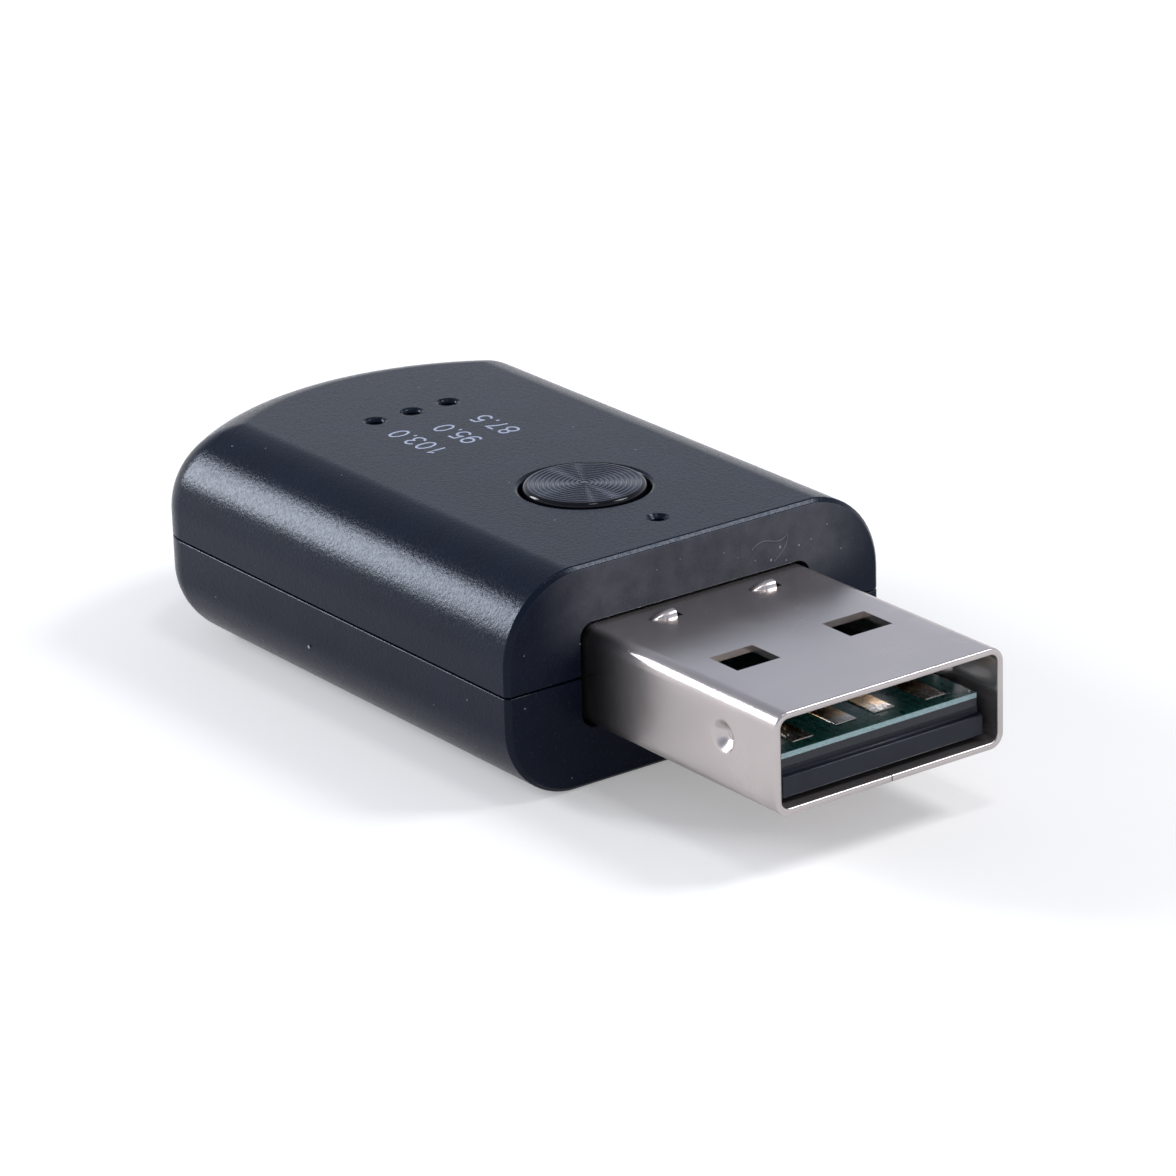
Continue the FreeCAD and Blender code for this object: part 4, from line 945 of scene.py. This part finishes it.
# Each flake's place and half size; those at x = 0 lie on the front face
FLAKES = [
    (0, 4.04, 2.79, 0.07), (0, 4.54, 3.26, 0.06), (0, 5.58, 3.10, 0.045),
    (0, -2.05, 3.84, 0.04), (0, 7.88, 2.40, 0.045), (0, 3.18, 2.96, 0.045),
    (0, 6.24, 3.22, 0.04), (0, 1.52, 3.73, 0.035), (0, -0.82, 4.03, 0.035),
    (0, 7.13, 3.69, 0.03), (0, 4.86, 2.59, 0.04), (0, 2.26, 3.32, 0.03),
    (0, -3.24, -3.59, 0.04), (0, -2.82, -3.88, 0.04), (0, -4.94, -0.90, 0.045),
    (0, -6.16, 1.54, 0.035), (0, -9.09, -0.62, 0.04), (0, -9.05, 1.74, 0.03),
    (0, -5.71, 1.11, 0.025), (0, -6.80, -4.37, 0.04),
    (-14.99, -10, -2.08, 0.09), (-5.42, -10, -1.87, 0.03), (-2.93, -10, -0.88, 0.03),
]
FLAKE_THICK = 0.35
FIBRE_RADIUS, FIBRE_OUT = 0.009, 0.02
FIBRE_ROUTE = [(3.0, 3.5), (3.3, 3.75), (3.8, 3.78), (4.3, 3.55), (4.75, 3.6), (5.0, 3.85),
               (4.9, 3.3), (4.6, 3.0), (4.2, 2.7)]


def make_flakes():
    draw = random.Random(7)
    form = bmesh.new()
    for x, y, z, size in FLAKES:
        made = bmesh.ops.create_icosphere(form, subdivisions=2, radius=1.0)["verts"]
        stretch = [size * draw.uniform(0.6, 1.2) for _ in range(3)]
        stretch[0 if x == 0 else 1] = size * FLAKE_THICK
        for v in made:
            ragged = 1 + draw.uniform(-0.25, 0.25)
            v.co = at(x, y, z) + Vector([v.co[n] * stretch[n] * ragged * MM for n in range(3)])
    new_object("lint_flakes", to_mesh(form, "lint_flakes", 60), LINT, "housing")


def make_fibre():
    curve = new_curve("lint_fibre", FIBRE_RADIUS, 2)
    spline = curve.splines.new("NURBS")
    spline.points.add(len(FIBRE_ROUTE) - 1)
    for point, (y, z) in zip(spline.points, FIBRE_ROUTE):
        point.co = (*at(FIBRE_OUT, y, z), 1.0)
    spline.order_u = 4
    spline.use_endpoint_u = True
    mesh = drawn(curve, "lint_fibre")
    smooth(mesh, 60)
    new_object("lint_fibre", mesh, LINT, "housing")


make_flakes()
make_fibre()


# Studio: white floor and surroundings, three soft lamps, and the camera at the photograph's angle

SKY = ((0.0, (1, 1, 1)), (0.16, (0.93, 0.95, 1.0)), (0.37, (0.585, 0.65, 0.775)),
       (0.66, (0.335, 0.36, 0.425)), (1.0, (0.31, 0.33, 0.375)))
FLOOR_REACH = 1.2
FLOOR_COLOUR = (0.79, 0.775, 0.755, 1)
FLOOR_GLOW, FLOOR_CAMERA_GLOW = 0.12, 0.15
LAMP_TARGET = Vector((0, 0, 0.005))
# Name, azimuth and elevation in degrees, distance, width and height in metres, watts, tint
LAMPS = (
    ("lamp_side", -57, 20.5, 0.30, 0.08, 0.125, 0.64, (0.90, 0.93, 1.0)),
    ("lamp_back", 147, 49, 0.32, 0.09, 0.09, 0.42, (0.97, 0.98, 1.0)),
    ("lamp_over", 92, 76, 0.36, 0.055, 0.055, 0.14, (1.0, 1.0, 1.0)),
)
CAMERA_AZIMUTH, CAMERA_ELEVATION, CAMERA_ROLL = 54.1674, 20.7815, -1.7686
CAMERA_BACK, CAMERA_RIGHT, CAMERA_UP = 233.6631, -4.5899, 2.4945
CAMERA_LENS, CAMERA_SENSOR = 167.99, 36.0


def direction(azimuth, elevation):
    """The way from the object, at angles in radians; azimuth 0 is its right side, -Y."""
    return Vector((math.sin(azimuth) * math.cos(elevation),
                   -math.cos(azimuth) * math.cos(elevation), math.sin(elevation)))


def make_world():
    world = bpy.data.worlds.new("Studio")
    bpy.context.scene.world = world
    world.use_nodes = True
    tree = world.node_tree
    height = split_xyz(tree, add(tree, "ShaderNodeTexCoord").outputs["Generated"])[2]
    put(tree, tree.nodes["Background"].inputs["Color"], ramp(tree, height, *SKY))


def make_floor():
    """A pale floor that glows for camera, glossy and transmission rays, most of all for camera."""
    material, tree, shader = new_material("floor")
    output = next(n for n in tree.nodes if n.type == "OUTPUT_MATERIAL")
    shader.inputs["Base Color"].default_value = FLOOR_COLOUR
    shader.inputs["Roughness"].default_value = 0.9
    shader.inputs["Specular IOR Level"].default_value = 0.1
    path = add(tree, "ShaderNodeLightPath").outputs
    seen = maths(tree, "MAXIMUM", path["Is Camera Ray"], path["Is Glossy Ray"])
    seen = maths(tree, "MAXIMUM", seen, path["Is Transmission Ray"])
    glow = add(tree, "ShaderNodeEmission", Color=colour(1, 1, 1))
    put(tree, glow.inputs["Strength"],
        maths(tree, "ADD", maths(tree, "MULTIPLY", seen, FLOOR_GLOW),
              maths(tree, "MULTIPLY", path["Is Camera Ray"], FLOOR_CAMERA_GLOW)))
    both = tree.nodes.new("ShaderNodeAddShader")
    tree.links.new(shader.outputs["BSDF"], both.inputs[0])
    tree.links.new(glow.outputs["Emission"], both.inputs[1])
    tree.links.new(both.outputs["Shader"], output.inputs["Surface"])
    mesh = bpy.data.meshes.new("floor")
    corners = [(x * FLOOR_REACH, y * FLOOR_REACH, 0)
               for x, y in ((-1, -1), (1, -1), (1, 1), (-1, 1))]
    mesh.from_pydata(corners, [], [(0, 1, 2, 3)])
    floor = bpy.data.objects.new("floor", mesh)
    bpy.context.scene.collection.objects.link(floor)
    mesh.materials.append(material)


def make_lamp(name, azimuth, elevation, far, wide, high, watts, tint):
    light = bpy.data.lights.new(name, "AREA")
    light.shape = "RECTANGLE"
    light.size, light.size_y = wide, high
    light.energy = watts
    light.color = tint
    thing = bpy.data.objects.new(name, light)
    bpy.context.scene.collection.objects.link(thing)
    way = direction(math.radians(azimuth), math.radians(elevation))
    thing.location = LAMP_TARGET + way * far
    thing.rotation_mode = "QUATERNION"
    thing.rotation_quaternion = (-way).to_track_quat("-Z", "Y")


def make_camera():
    azimuth, roll = math.radians(CAMERA_AZIMUTH), math.radians(CAMERA_ROLL)
    back = direction(azimuth, math.radians(CAMERA_ELEVATION))
    right = Vector((math.cos(azimuth), math.sin(azimuth), 0))
    up = back.cross(right)
    data = bpy.data.cameras.new("camera")
    data.sensor_width = CAMERA_SENSOR
    data.lens = CAMERA_LENS
    data.clip_start, data.clip_end = 0.01, 10
    data.dof.use_dof = False
    camera = bpy.data.objects.new("camera", data)
    bpy.context.scene.collection.objects.link(camera)
    spot = at(0, 0, 0) + (back * CAMERA_BACK + right * CAMERA_RIGHT + up * CAMERA_UP) * MM
    turned_right = right * math.cos(roll) + up * math.sin(roll)
    turned_up = -right * math.sin(roll) + up * math.cos(roll)
    axes = Matrix((turned_right, turned_up, back)).transposed()
    camera.matrix_world = Matrix.Translation(spot) @ axes.to_4x4()
    bpy.context.scene.camera = camera


make_world()
make_floor()
for lamp in LAMPS:
    make_lamp(*lamp)
make_camera()
bpy.context.scene.view_settings.view_transform = "Standard"

bpy.context.view_layer.update()
